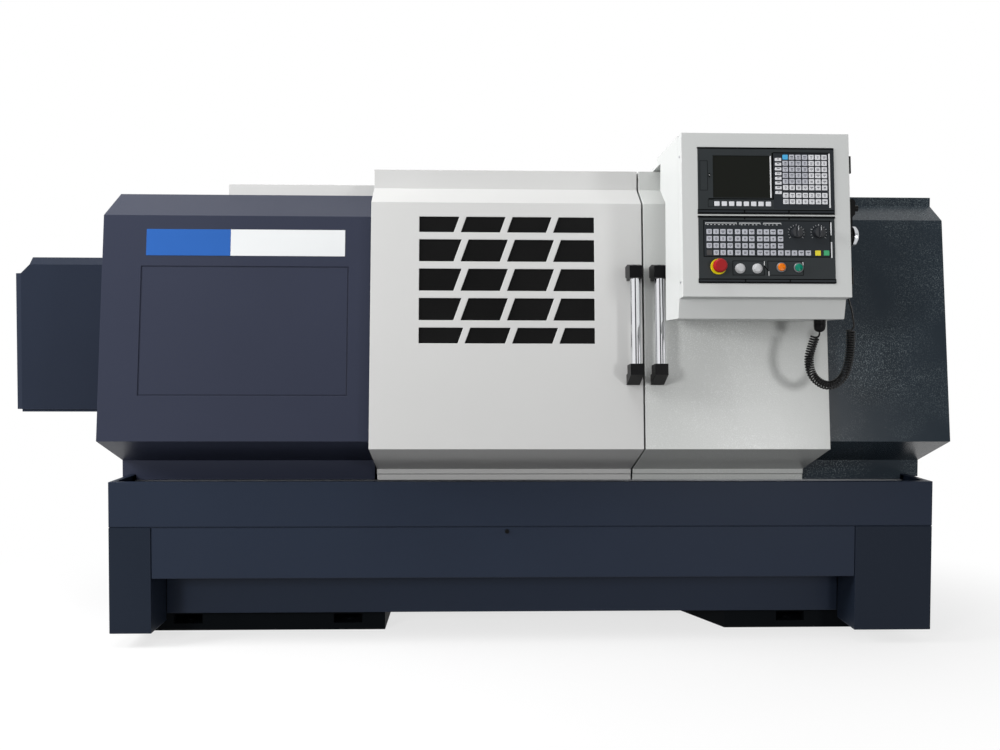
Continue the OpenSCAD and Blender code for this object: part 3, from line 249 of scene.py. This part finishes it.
# Painted highlights: pale bars that stand for light caught on the right edges of the panel's bezels and
# frames.
EDGE_HIGHLIGHT = Shade("painted_edge_highlight", (226, 227, 229), 0.25).mottle(20, 0.05)
GLASS = Shade("dark_glass", (24, 24, 24), 0.08, Specular_IOR_Level=0.12)
GLASS.mottle(2.2, 0.25).patchy(3, 0.03)
SCREEN = Shade("screen_glass", (20, 22, 18), 0.18, Specular_IOR_Level=0.09)
SCREEN.mottle(5, 0.08).patchy(8, 0.04)
KEY_GREY = Shade("key_grey", (184, 186, 194), 0.45, Specular_IOR_Level=0.2)
KEY_GREY.mottle(30, 0.05).grain(1600, 0.15, 0.0001)
KEY_WHITE = Shade("key_white", (218, 219, 223), 0.45, Specular_IOR_Level=0.2)
KEY_WHITE.mottle(30, 0.03).grain(1600, 0.15, 0.0001)
KEY_BLUE = Shade("key_blue", (70, 170, 222), 0.42).mottle(40, 0.06)
KEY_YELLOW = Shade("key_yellow", (226, 210, 40), 0.42).mottle(40, 0.06)
KEY_GREEN = Shade("key_green", (52, 158, 104), 0.42).mottle(40, 0.06)
KEY_DARK = Shade("key_dark", (52, 50, 50), 0.45).mottle(40, 0.08)
INK = Shade("key_print", (52, 54, 62), 0.60, Specular_IOR_Level=0.1).mottle(40, 0.10)
INK_WHITE = Shade("panel_print", (196, 198, 200), 0.55, Specular_IOR_Level=0.1).mottle(40, 0.05)
STOP_RED = Shade("stop_red", (158, 26, 30), 0.34, Specular_IOR_Level=0.2)
STOP_RED.mottle(30, 0.06).grain(900, 0.12, 0.0002)
STOP_YELLOW = Shade("stop_yellow", (226, 208, 24), 0.38, Specular_IOR_Level=0.2)
STOP_YELLOW.mottle(30, 0.05).grain(900, 0.1, 0.0002)
PUSH_GREY = Shade("push_grey", (190, 191, 193), 0.38).mottle(30, 0.05).grain(900, 0.15, 0.0002)
LENS_AMBER = Shade("lens_amber", (226, 116, 12), 0.16, Specular_IOR_Level=0.2).mottle(160, 0.22, 2)
LENS_GREEN = Shade("lens_green", (4, 118, 94), 0.16, Specular_IOR_Level=0.2).mottle(160, 0.25, 2)
PLATE_BLUE = Shade("plate_blue", (42, 92, 166), 0.35, Specular_IOR_Level=0.2)
PLATE_BLUE.mottle(4, 0.04).grain(500, 0.06, 0.0002)
PLATE_WHITE = Shade("plate_white", (220, 222, 223), 0.35, Specular_IOR_Level=0.2)
PLATE_WHITE.mottle(4, 0.02).grain(500, 0.06, 0.0002)
RING = Shade("dark_metal", (128, 130, 134), 0.35, 0.7).mottle(30, 0.08).patchy(40, 0.05)


# CAD nodes: materials and eased edges

def dress(shade, *names):
    for name in names:
        slots = nodes[name].data.materials
        slots.clear()
        slots.append(shade.mat)


def ease(width, segments, *names):
    """Rounds the sharp edges of a CAD node by width millimetres."""
    for name in names:
        weld = nodes[name].modifiers.new("weld", "WELD")
        weld.merge_threshold = 0.00002
        bevel = nodes[name].modifiers.new("edges", "BEVEL")
        bevel.width = width * MM
        bevel.segments = segments
        bevel.limit_method = "ANGLE"
        bevel.angle_limit = math.radians(28)
        even = nodes[name].modifiers.new("normals", "WEIGHTED_NORMAL")
        even.mode = "FACE_AREA"
        even.weight = 100
        even.keep_sharp = True


dress(DARK_PAINT, "headstock_cover", "access_panel", "rear_guard")
dress(GUARD_PAINT, "end_guard")
dress(SPARKLE_PAINT, "tailstock_cover")
dress(BASE_PAINT, "chip_tray", "front_apron")
dress(BASE_PAINT_SHADED, "left_leg_cover", "right_leg_cover")
dress(FOOT_PAINT_AND_SHADE, "left_pedestal", "right_pedestal")
dress(DOOR_PAINT, "left_door", "top_rail", "electrical_cabinet", "cabinet_door")
dress(DOOR_PEBBLE, "right_door")
dress(BOX_PAINT, "control_box", "box_lid")
dress(CAST, "headstock", "tailstock", "main_motor", "saddle", "cross_slide")
dress(WAYS, "bed")
dress(STEEL, "spindle", "spindle_pulley", "motor_pulley", "chuck", "tailstock_quill", "tailstock_handwheel",
      "z_ballscrew", "mpg_dial")
dress(GROUND, "chuck_jaw_1", "chuck_jaw_2", "chuck_jaw_3", "turret_head", "bottom_rail")
dress(CHROME, "left_handle_tube", "right_handle_tube")
dress(BLACK, "left_handle_ends", "right_handle_ends", "lid_hinges", "mpg_body", "z_servo_motor")
dress(KNOB, "feed_knob", "speed_knob")
dress(RUBBER, "drive_belt")
dress(GLASS, "left_door_glass")
dress(SCREEN, "screen")
dress(PANEL, "display_unit", "operator_panel")
dress(STOP_YELLOW, "estop_collar")
dress(STOP_RED, "estop_button")
dress(PUSH_GREY, "hold_button", "start_button")
dress(LENS_AMBER, "amber_button")
dress(LENS_GREEN, "green_button")

ease(2.2, 2, "chip_tray", "left_leg_cover", "right_leg_cover", "front_apron")
ease(1.2, 2, "headstock_cover", "access_panel", "end_guard", "tailstock_cover", "rear_guard", "left_door",
     "right_door", "control_box", "box_lid", "top_rail", "electrical_cabinet")
ease(3.0, 3, "left_handle_ends", "right_handle_ends", "mpg_body")
ease(0.5, 2, "hold_button", "start_button", "amber_button", "green_button", "estop_button", "estop_collar")
ease(1.5, 2, "lid_hinges", "feed_knob", "speed_knob", "chuck_jaw_1", "chuck_jaw_2", "chuck_jaw_3")


# Mesh pieces

def rounded(cx, cy, w, h, r, n=3):
    """Outline of a rectangle with round corners."""
    points = []
    for k, (sx, sy) in enumerate(((1, 1), (-1, 1), (-1, -1), (1, -1))):
        for i in range(n + 1):
            a = math.radians(90 * k + 90 * i / n)
            points.append((cx + sx * (w / 2 - r) + r * math.cos(a), cy + sy * (h / 2 - r) + r * math.sin(a)))
    return points


class Piece:
    """A mesh built up in one local frame, in millimetres."""

    def __init__(self, place):
        self.bm = bmesh.new()
        self.place = place

    def loft(self, rings):
        """Closed body through rings of points, with flat ends."""
        made = [[self.bm.verts.new(self.place @ Vector(p)) for p in ring] for ring in rings]
        for a, b in zip(made, made[1:]):
            for i in range(len(a)):
                j = (i + 1) % len(a)
                self.bm.faces.new((a[i], a[j], b[j], b[i]))
        self.bm.faces.new(list(reversed(made[0])))
        self.bm.faces.new(made[-1])

    def pad(self, cx, cy, w, h, z0, z1, r=1.0, ease=0.4):
        """Rounded block that stands on z0, with eased upper edges."""
        low = rounded(cx, cy, w, h, r)
        high = rounded(cx, cy, w - 2 * ease, h - 2 * ease, max(r - ease, 0.15))
        self.loft([[(x, y, z) for x, y in ring] for ring, z in ((low, z0), (low, z1 - ease), (high, z1))])

    def bar(self, x0, y0, x1, y1, z0, z1, r=0.3, ease=0.15):
        self.pad((x0 + x1) / 2, (y0 + y1) / 2, abs(x1 - x0), abs(y1 - y0), z0, z1, r, ease)

    def turned(self, cx, cy, profile, n=40):
        """Solid of revolution about z; the profile runs up as (radius, height)."""
        rings = []
        for r, z in profile:
            turn = [2 * math.pi * i / n for i in range(n)]
            rings.append([(cx + r * math.cos(a), cy + r * math.sin(a), z) for a in turn])
        self.loft(rings)

    def ring(self, cx, cy, profile, n=40):
        """Closed ring of revolution about z."""
        made = []
        for i in range(n):
            a = 2 * math.pi * i / n
            section = [(cx + r * math.cos(a), cy + r * math.sin(a), z) for r, z in profile]
            made.append([self.bm.verts.new(self.place @ Vector(p)) for p in section])
        for i in range(n):
            a, b = made[i], made[(i + 1) % n]
            for k in range(len(profile)):
                m = (k + 1) % len(profile)
                self.bm.faces.new((a[k], b[k], b[m], a[m]))

    def outline(self, x0, y0, x1, y1, w, z0, z1):
        """Rectangular rim of width w."""
        self.bar(x0, y0, x1, y0 + w, z0, z1)
        self.bar(x0, y1 - w, x1, y1, z0, z1)
        self.bar(x0, y0 + w, x0 + w, y1 - w, z0, z1)
        self.bar(x1 - w, y0 + w, x1, y1 - w, z0, z1)

    def screw(self, cx, cy, z, r):
        """Round screw head with a socket."""
        self.turned(cx, cy, [(r, z - 0.5), (r, z + 0.35 * r), (0.8 * r, z + 0.55 * r),
                             (0.45 * r, z + 0.55 * r), (0.4 * r, z + 0.2 * r)], 20)

    def tick(self, cx, cy, r0, r1, w, angle, z0, z1):
        """Radial mark; angle counts clockwise from straight up."""
        a = math.radians(90 - angle)
        d = Vector((math.cos(a), math.sin(a)))
        s = Vector((-d.y, d.x)) * w / 2
        c = Vector((cx, cy))
        corners = [c + d * r0 - s, c + d * r1 - s, c + d * r1 + s, c + d * r0 + s]
        self.loft([[(p.x, p.y, z) for p in corners] for z in (z0, z1)])

    def finish(self, name, shade, body, smooth=False):
        bmesh.ops.recalc_face_normals(self.bm, faces=self.bm.faces)
        mesh = bpy.data.meshes.new(name)
        self.bm.to_mesh(mesh)
        self.bm.free()
        mesh.materials.append(shade.mat)
        obj = bpy.data.objects.new(name, mesh)
        scene.collection.objects.link(obj)
        if smooth:
            mesh.shade_smooth()
            mesh.set_sharp_from_angle(angle=math.radians(35))
        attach(obj, body)
        return obj


# Curly cord of the pendant

CORD_X, CORD_Y, CORD_Z = 2243.0, -230.0, 1040.0
CORD_D = 5.6
COIL_R = 11.4
COIL_PITCH = 7.6
COIL_PHASE = 1.57
COIL_FROM, COIL_TO = 8.0, 387.64
# How firmly the joining bends start and end, and how far the last one reaches along the way
IN_PULL, OUT_PULL, COIL_PULL = 50, 70, 35
OUT_REACH = 42
COIL_WAY = [(-11, -9), (-16, -22), (-24, -47), (-31, -77), (-28, -112), (-15, -139), (7, -157), (32, -163),
            (57, -154), (77, -132), (89, -97), (95, -57), (96, -17), (96, 15)]
LEAD_WAY = [(101, 34), (100, 60), (89, 99), (79, 140), (72, 185), (69, 224), (68.3, 256.6)]


def catmull(points, k):
    out = []
    for i in range(len(points) - 1):
        a, b = points[max(i - 1, 0)], points[i]
        c, d = points[i + 1], points[min(i + 2, len(points) - 1)]
        for j in range(k):
            t = j / k
            out.append(b + t * (c - a) / 2 + t * t * (a - 2.5 * b + 2 * c - d / 2)
                       + t ** 3 * (1.5 * b - a / 2 - 1.5 * c + d / 2))
    return out + [points[-1]]


def joined(p0, d0, p1, d1, n):
    """Smooth bend from p0 to p1, with its first and last directions."""
    out = []
    for i in range(1, n):
        u = i / n
        out.append((2 * u ** 3 - 3 * u ** 2 + 1) * p0 + (u ** 3 - 2 * u ** 2 + u) * d0
                   + (3 * u ** 2 - 2 * u ** 3) * p1 + (u ** 3 - u ** 2) * d1)
    return out


def cord_route():
    """Straight out of the gland, round the coil and straight up to the pendant."""
    way = catmull([Vector(p) for p in COIL_WAY + LEAD_WAY], 60)
    gone = [0.0]
    for a, b in zip(way, way[1:]):
        gone.append(gone[-1] + (b - a).length)

    def middle(s):
        i = min(bisect.bisect_right(gone, s), len(way) - 1) - 1
        return way[i] + (way[i + 1] - way[i]) * (s - gone[i]) / (gone[i + 1] - gone[i])

    def heading(s):
        return (middle(s + 0.6) - middle(s - 0.6)).normalized()

    def turn(s):
        ahead, angle = heading(s), COIL_PHASE + 2 * math.pi * s / COIL_PITCH
        flat = middle(s) + Vector((-ahead.y, ahead.x)) * COIL_R * math.cos(angle)
        return Vector((flat.x, COIL_R * math.sin(angle), flat.y))

    def course(s):
        return (turn(s + 0.02) - turn(s - 0.02)).normalized()

    out = [Vector((0, 0, 0)), Vector((0, 0, -3.2))]
    out += joined(out[-1], Vector((0, 0, -IN_PULL)), turn(COIL_FROM), course(COIL_FROM) * COIL_PULL, 10)
    steps = round((COIL_TO - COIL_FROM) / 0.36)
    out += [turn(COIL_FROM + (COIL_TO - COIL_FROM) * i / steps) for i in range(steps + 1)]
    s = COIL_TO + OUT_REACH
    ahead, here = heading(s), middle(s)
    out += joined(out[-1], course(COIL_TO) * OUT_PULL, Vector((here.x, 0, here.y)),
                  Vector((ahead.x, 0, ahead.y)) * COIL_PULL, 14)
    steps = round((gone[-1] - s) / 6)
    for i in range(steps + 1):
        here = middle(s + (gone[-1] - s) * i / steps)
        out.append(Vector((here.x, 0, here.y)))
    return [row(CORD_X + p.x, CORD_Y + p.y, CORD_Z + p.z) for p in out]


def make_cord():
    route = cord_route()
    curve = bpy.data.curves.new("pendant_cord", "CURVE")
    curve.dimensions = "3D"
    curve.bevel_depth = CORD_D / 2 * MM
    curve.bevel_resolution = 3
    curve.use_fill_caps = True
    spline = curve.splines.new("POLY")
    spline.points.add(len(route) - 1)
    for point, p in zip(spline.points, route):
        point.co = (*p, 1)
    spline.use_smooth = True
    curve.materials.append(RUBBER.mat)
    obj = bpy.data.objects.new("pendant_cord", curve)
    scene.collection.objects.link(obj)
    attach(obj, "frame")
    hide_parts("cord_coil", "cord_lead")


make_cord()


def make_cord_ends():
    """Gland under the control box and sleeve under the pendant."""
    p = Piece(PLAIN)
    p.turned(CORD_X, CORD_Y, [(5.4, 1039.4), (7.5, 1040.2), (12.5, 1043), (15.6, 1047.5), (16.4, 1052),
                              (17.4, 1058), (17.4, 1063), (16.9, 1064), (17.4, 1065), (17.4, 1076)])
    p.finish("cord_gland", BLACK, "frame", True)
    p = Piece(PLAIN)
    p.turned(2311.3, CORD_Y, [(2.9, 1275), (3.5, 1275.6), (4.0, 1281), (3.6, 1282), (4.7, 1288), (4.3, 1289),
                              (6.0, 1297)], 24)
    p.finish("lead_sleeve", RUBBER, "frame", True)


make_cord_ends()


# Plates on the left cover

def make_plates():
    plates = (("plate_blue", PLATE_BLUE, 119, 392), ("plate_white", PLATE_WHITE, 392.6, 766))
    for name, shade, x0, x1 in plates:
        p = Piece(COVER)
        p.bar(x0, 606.5, x1, 694, -0.2, 1.0, 1.0, 0.35)
        p.finish(name, shade, "frame")


make_plates()


# Control panel: keys, print, rims and rings, all in the lid's frame

FACE = 2.0
DISP_Y = 244.0
OPER_Y = 128.6
LEFT, RIGHT = 45.6, 447.2
PUSH_AT = ((166.5, 82.3), (216.5, 82.3), (286.5, 86.3), (336.5, 85.3))
KNOB_AT = ((332.5, 187.8), (398.5, 187.8))


def key_places():
    """Lists of (x, y, width, height) by colour."""
    keys = {"grey": [], "white": [], "soft": [], "blue": [], "yellow": [], "green": [], "dark": []}
    for i in range(8):
        keys["soft"].append((102 + i * 21.5, DISP_Y + 28, 15.0, 13.4))
        keys["white"].append((283, DISP_Y + 62 + i * 13.95, 18.6, 9.0))
    for i in range(7):
        for j in range(8):
            y = DISP_Y + 35.5 + (j * 18.6 if j < 2 else 41.2 + (j - 2) * 18.0)
            tone = "blue" if (i, j) == (0, 7) else "white" if i > 3 or j < 3 else "grey"
            keys[tone].append((304 + i * 19.1, y, 15.4, 14.6))
    for j in range(4):
        for x in (78, 98, 118, 138.5, 161, 182, 202, 225.5, 245, 264.5, 286):
            keys["dark" if (j, x) == (0, 78) else "grey"].append((x, OPER_Y + j * 20.4, 15.4, 14.8))
    for x in (306, 326, 346, 366.5):
        keys["grey"].append((x, OPER_Y, 15.4, 14.8))
    keys["yellow"].append((395, OPER_Y, 16, 15))
    keys["green"].append((420, OPER_Y + 0.5, 16, 15))
    return keys


def make_keys():
    keys = key_places()
    shades = {"grey": KEY_GREY, "white": KEY_WHITE, "soft": KEY_WHITE, "blue": KEY_BLUE, "yellow": KEY_YELLOW,
              "green": KEY_GREEN, "dark": KEY_DARK}
    first = None
    print_on = Piece(LID)
    for tone, places in keys.items():
        p = Piece(LID)
        for n, (x, y, w, h) in enumerate(places):
            p.pad(x, y, w, h, FACE - 0.3, FACE + 1.3, 1.4, 0.45)
            if tone in ("grey", "white"):
                long, short = 2.6 + (n * 5 % 7) * 0.4, 1.4 + (n * 3 % 5) * 0.5
                print_on.bar(x - long, y + 0.3, x + long, y + 2.6, FACE + 1.2, FACE + 1.38, 0.3, 0.05)
                if h > 12:
                    print_on.bar(x - short, y - 3.4, x + short, y - 1.9, FACE + 1.2, FACE + 1.38, 0.3, 0.05)
        obj = p.finish("keys_" + tone, shades[tone], "lid")
        first = first or obj
    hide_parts("panel_keys")
    print_on.finish("keys_print", INK, "lid")


def make_panel_trim():
    z0, z1 = FACE - 0.3, FACE + 0.45
    p = Piece(LID)
    for y0, y1 in ((434.4, 438.4), (252.6, 255.4), (244.6, 247.0), (230.6, 234.4), (50.0, 52.8),
                   (40.6, 44.0)):
        p.bar(LEFT, y0, RIGHT, y1, z0, z1)
    for x in (180.4, 310.4):
        p.bar(x, 246.5, x + 3.6, 253, z0, z1)
        p.bar(x, 226.4, x + 3.6, 231, z0, z1)
        p.bar(x, 43.5, x + 3.6, 50.5, z0, z1)
    for y0, y1 in ((234.2, 237.0), (241.6, 244.8)):
        p.bar(LEFT, y0, RIGHT, y1, -0.3, 1.6)
    p.bar(264.6, 285.2, 268.8, 423.6, z0, z1)
    p.bar(77.3, 285.2, 265, 288.2, z0, z1)
    p.bar(268.4, 422.4, 434.2, 425.1, z0, z1)
    p.outline(52.8, 311.2, 75.8, 399, 0.9, z0, z1)
    p.outline(75.9, 262.6, 92.4, 284, 0.8, z0, z1)
    p.bar(78.9, 349.7, 81.9, 362, z0, z1 + 1.0)
    p.outline(61, 116, 432.5, 223.8, 2.2, z0, z1)
    p.outline(144.8, 62.8, 237.7, 105.3, 1.5, z0, z1)
    p.outline(246.8, 62.8, 351.8, 105.3, 1.5, z0, z1)
    p.tick(242.4, 84, -12, 12, 2.6, -38, z0, z1)
    p.finish("panel_rims", RIM, "lid")

    p = Piece(LID)
    p.bar(435.9, 255.2, RIGHT, 434.6, z0, z1 - 0.2)
    p.bar(63, 118, 430.5, 221.8, z0, FACE + 0.12)
    p.bar(268.6, 258, 431.4, 422.6, z0, FACE + 0.12)
    p.bar(LEFT, 246.8, RIGHT, 252.8, z0, FACE + 0.12)
    p.bar(LEFT, 43.8, RIGHT, 50.2, z0, FACE + 0.12)
    p.finish("panel_insets", INSET, "lid")

    # Pale bars along the right edges of the screen, the key field and the frames: painted highlights of those
    # edges; a small pale stud sits among them.
    p = Piece(LID)
    for x0, y0, x1, y1 in ((259.2, 290.6, 262.3, 414), (431.4, 262, 435.6, 422), (433, 181, 436.2, 219),
                           (433.4, 114.6, 437, 161.5), (236.3, 91.7, 238.1, 103.8), (249.4, 61.3, 251.2, 75),
                           (349.4, 87.1, 351.2, 102.3)):
        p.bar(x0, y0, x1, y1, 0.2, z1 + 0.2)
    p.turned(80.4, 356, [(1.0, z1), (1.0, z1 + 1.4), (0.6, z1 + 1.8)], 16)
    p.finish("panel_edge_highlights", EDGE_HIGHLIGHT, "lid")

    p = Piece(LID)
    for x0, x1 in ((67.1, 158.5), (166.1, 227.9), (236.1, 288.8)):
        p.bar(x0, 214.2, x1, 216.6, z0, z1)
        for x in (x0, x1 - 1.2):
            p.bar(x, 210.6, x + 1.2, 214.4, z0, z1)
        for n in range(int((x1 - x0) / 11)):
            p.bar(x0 + 4 + 11 * n, 209.6, x0 + 9.5 + 11 * n - n % 3, 211.6, z0, z1)
    for x, y in KNOB_AT:
        for n in range(13):
            p.tick(x, y, 21.0, 24.4 if n % 3 else 25.8, 0.9, -126 + 21 * n, z0, z1)
    p.finish("panel_print", INK_WHITE, "lid")

    p = Piece(LID)
    for x, y in PUSH_AT[:2]:
        p.ring(x, y, [(11.5, 5.7), (11.5, 7.0), (12.2, 7.4), (13.6, 6.8), (14.5, 5.4), (14.6, 1.9),
                      (14.2, 1.9), (14.1, 5.7)])
    p.finish("button_bezels", PUSH_GREY, "lid", True)
    p = Piece(LID)
    for x, y in PUSH_AT[2:]:
        p.ring(x, y, [(11.5, 5.7), (11.5, 7.4), (12.4, 7.8), (14.0, 6.6), (14.6, 5.0), (14.6, 1.9),
                      (14.2, 1.9), (14.1, 5.7)])
    p.finish("light_bezels", RING, "lid", True)

    for body, (x, y) in zip(("feed_knob", "speed_knob"), KNOB_AT):
        p = Piece(LID)
        p.bar(x - 0.7, y + 3, x + 0.7, y + 14, 21.6, 22.3)
        p.finish(body + "_pointer", INK_WHITE, body)


make_keys()
make_panel_trim()


# Pendant: scale round the dial and pointers of the two selectors

def make_pendant_marks():
    p = Piece(PENDANT)
    for n in range(27):
        p.tick(0, 0, 32.4, 35.0 if n % 5 else 36.6, 0.9, -130 + 10 * n, -0.3, 0.35)
    for x in (-20, 20):
        p.bar(x - 0.8, 83, x + 0.8, 90.5, 23.6, 24.4)
        for n in range(5):
            p.tick(x, 82, 11, 13.4, 0.9, -70 + 35 * n, 7.6, 8.35)
    p.finish("pendant_marks", INK_WHITE, "frame")


make_pendant_marks()


# Screws and plugs

def make_fixings():
    p = Piece(APRON)
    head = [(4.2, -9), (4.2, 0.2), (7.2, 0.2), (7.2, 1.6), (6.0, 2.6), (2.6, 2.6), (2.4, 1.2)]
    p.turned(1301, 384, head, 28)
    p.finish("apron_plug", BLACK, "frame", True)
    p = Piece(LID_SIDE)
    for y, z in ((333, 1180), (300, 1550)):
        p.screw(y, z, 0, 4.0)
    p.finish("lid_side_screws", STEEL, "lid", True)
    p = Piece(REAR)
    for x in range(940, 2281, 190):
        for z in (625, 1478):
            p.screw(-x, z, 0, 6.0)
    p.finish("rear_screws", BLACK, "frame", True)


make_fixings()


# Floor, light and surroundings

# Half the floor's side, its share of plain white near the machine, and the share of light that it sends back
FLOOR = 14.0
NEAR_WHITE = 0.72
BOUNCE = 0.22
# Level of the soft light from all round
SOFT = 0.32


def make_stage():
    mesh = bpy.data.meshes.new("floor")
    corners = [(-FLOOR, -FLOOR, 0), (FLOOR, -FLOOR, 0), (FLOOR, FLOOR, 0), (-FLOOR, FLOOR, 0)]
    mesh.from_pydata(corners, [], [(0, 1, 2, 3)])
    floor = bpy.data.objects.new("floor", mesh)
    floor.location.z = -0.0005
    scene.collection.objects.link(floor)
    s = Shade("floor", (244, 244, 244), 0.9)
    s.mottle(0.6, 0.01)
    light = s.node("ShaderNodeLightPath")
    seen = s.node("ShaderNodeMath")
    seen.operation = "MAXIMUM"
    more = s.node("ShaderNodeMath")
    more.operation = "MAXIMUM"
    s.link(light.outputs["Is Camera Ray"], seen.inputs[0])
    s.link(light.outputs["Is Glossy Ray"], seen.inputs[1])
    s.link(seen.outputs[0], more.inputs[0])
    s.link(light.outputs["Is Transmission Ray"], more.inputs[1])
    near = s.node("ShaderNodeTexGradient")
    near.gradient_type = "SPHERICAL"
    s.link(s.coords((0.36, 0.62, 1)), near.inputs["Vector"])
    white = s.node("ShaderNodeMapRange")
    white.interpolation_type = "SMOOTHSTEP"
    white.inputs["From Max"].default_value = 0.5
    white.inputs["To Min"].default_value = 1.0
    white.inputs["To Max"].default_value = NEAR_WHITE
    s.link(near.outputs["Fac"], white.inputs["Value"])
    share = s.node("ShaderNodeMath")
    share.operation = "MULTIPLY"
    s.link(more.outputs[0], share.inputs[0])
    s.link(white.outputs["Result"], share.inputs[1])
    dim = s.node("ShaderNodeBsdfDiffuse", Color=(BOUNCE, BOUNCE, BOUNCE, 1))
    bounce = s.node("ShaderNodeMixShader")
    s.link(light.outputs["Is Diffuse Ray"], bounce.inputs["Fac"])
    s.link(s.bsdf.outputs[0], bounce.inputs[1])
    s.link(dim.outputs[0], bounce.inputs[2])
    glow = s.node("ShaderNodeEmission", Strength=1.0)
    add = s.node("ShaderNodeMixShader")
    s.link(share.outputs[0], add.inputs["Fac"])
    s.link(bounce.outputs[0], add.inputs[1])
    s.link(glow.outputs[0], add.inputs[2])
    s.link(add.outputs[0], s.tree.nodes["Material Output"].inputs["Surface"])
    mesh.materials.append(s.mat)


def make_world():
    world = bpy.data.worlds.new("studio")
    world.use_nodes = True
    scene.world = world
    tree = world.node_tree
    tree.nodes.clear()
    out = tree.nodes.new("ShaderNodeOutputWorld")
    light = tree.nodes.new("ShaderNodeLightPath")
    a = tree.nodes.new("ShaderNodeMath")
    a.operation = "MAXIMUM"
    b = tree.nodes.new("ShaderNodeMath")
    b.operation = "MAXIMUM"
    tree.links.new(light.outputs["Is Camera Ray"], a.inputs[0])
    tree.links.new(light.outputs["Is Glossy Ray"], a.inputs[1])
    tree.links.new(a.outputs[0], b.inputs[0])
    tree.links.new(light.outputs["Is Transmission Ray"], b.inputs[1])
    soft = tree.nodes.new("ShaderNodeBackground")
    soft.inputs["Strength"].default_value = SOFT
    white = tree.nodes.new("ShaderNodeBackground")
    white.inputs["Strength"].default_value = 1.0
    for n in (soft, white):
        n.inputs["Color"].default_value = (1, 1, 1, 1)
    mix = tree.nodes.new("ShaderNodeMixShader")
    tree.links.new(b.outputs[0], mix.inputs["Fac"])
    tree.links.new(soft.outputs[0], mix.inputs[1])
    tree.links.new(white.outputs[0], mix.inputs[2])
    tree.links.new(mix.outputs[0], out.inputs["Surface"])


def lamp(name, at, aim, size, power, glint=False):
    data = bpy.data.lights.new(name, "AREA")
    data.shape = "RECTANGLE"
    data.size, data.size_y = size
    data.energy = power
    obj = bpy.data.objects.new(name, data)
    obj.location = at
    obj.rotation_euler = (Vector(aim) - Vector(at)).to_track_quat("-Z", "Y").to_euler()
    obj.visible_glossy = glint
    scene.collection.objects.link(obj)


def make_flags():
    """Dark studio cards behind the camera, which bright metal reflects as stripes."""
    mesh = bpy.data.meshes.new("flags")
    corners, faces = [], []
    for (x0, y0), (x1, y1) in (((-1.15, -4.7), (1.1, -4.7)), ((2.6, -4.15), (3.95, -2.9))):
        faces.append([len(corners) + n for n in range(4)])
        corners += [(x0, y0, 0), (x1, y1, 0), (x1, y1, 3.2), (x0, y0, 3.2)]
    mesh.from_pydata(corners, [], faces)
    flags = bpy.data.objects.new("flags", mesh)
    flags.visible_camera = False
    flags.visible_diffuse = False
    flags.visible_shadow = False
    flags.visible_transmission = False
    scene.collection.objects.link(flags)
    mesh.materials.append(Shade("flags", (96, 96, 99), 0.9).mottle(2, 0.2).mat)


make_stage()
make_world()
make_flags()
lamp("overhead", (-0.9, -1.1, 4.2), (-0.1, -0.2, 0.9), (3.0, 1.6), 60, True)
lamp("left", (-4.4, -1.4, 2.9), (0.3, -0.4, 1.1), (1.8, 1.8), 225)
lamp("front_left", (-2.6, -4.2, 1.7), (0.2, -0.4, 1.0), (0.8, 0.8), 72)
lamp("right_front", (1.9, -3.3, 1.0), (0.9, -0.4, 1.0), (0.35, 0.35), 18, True)
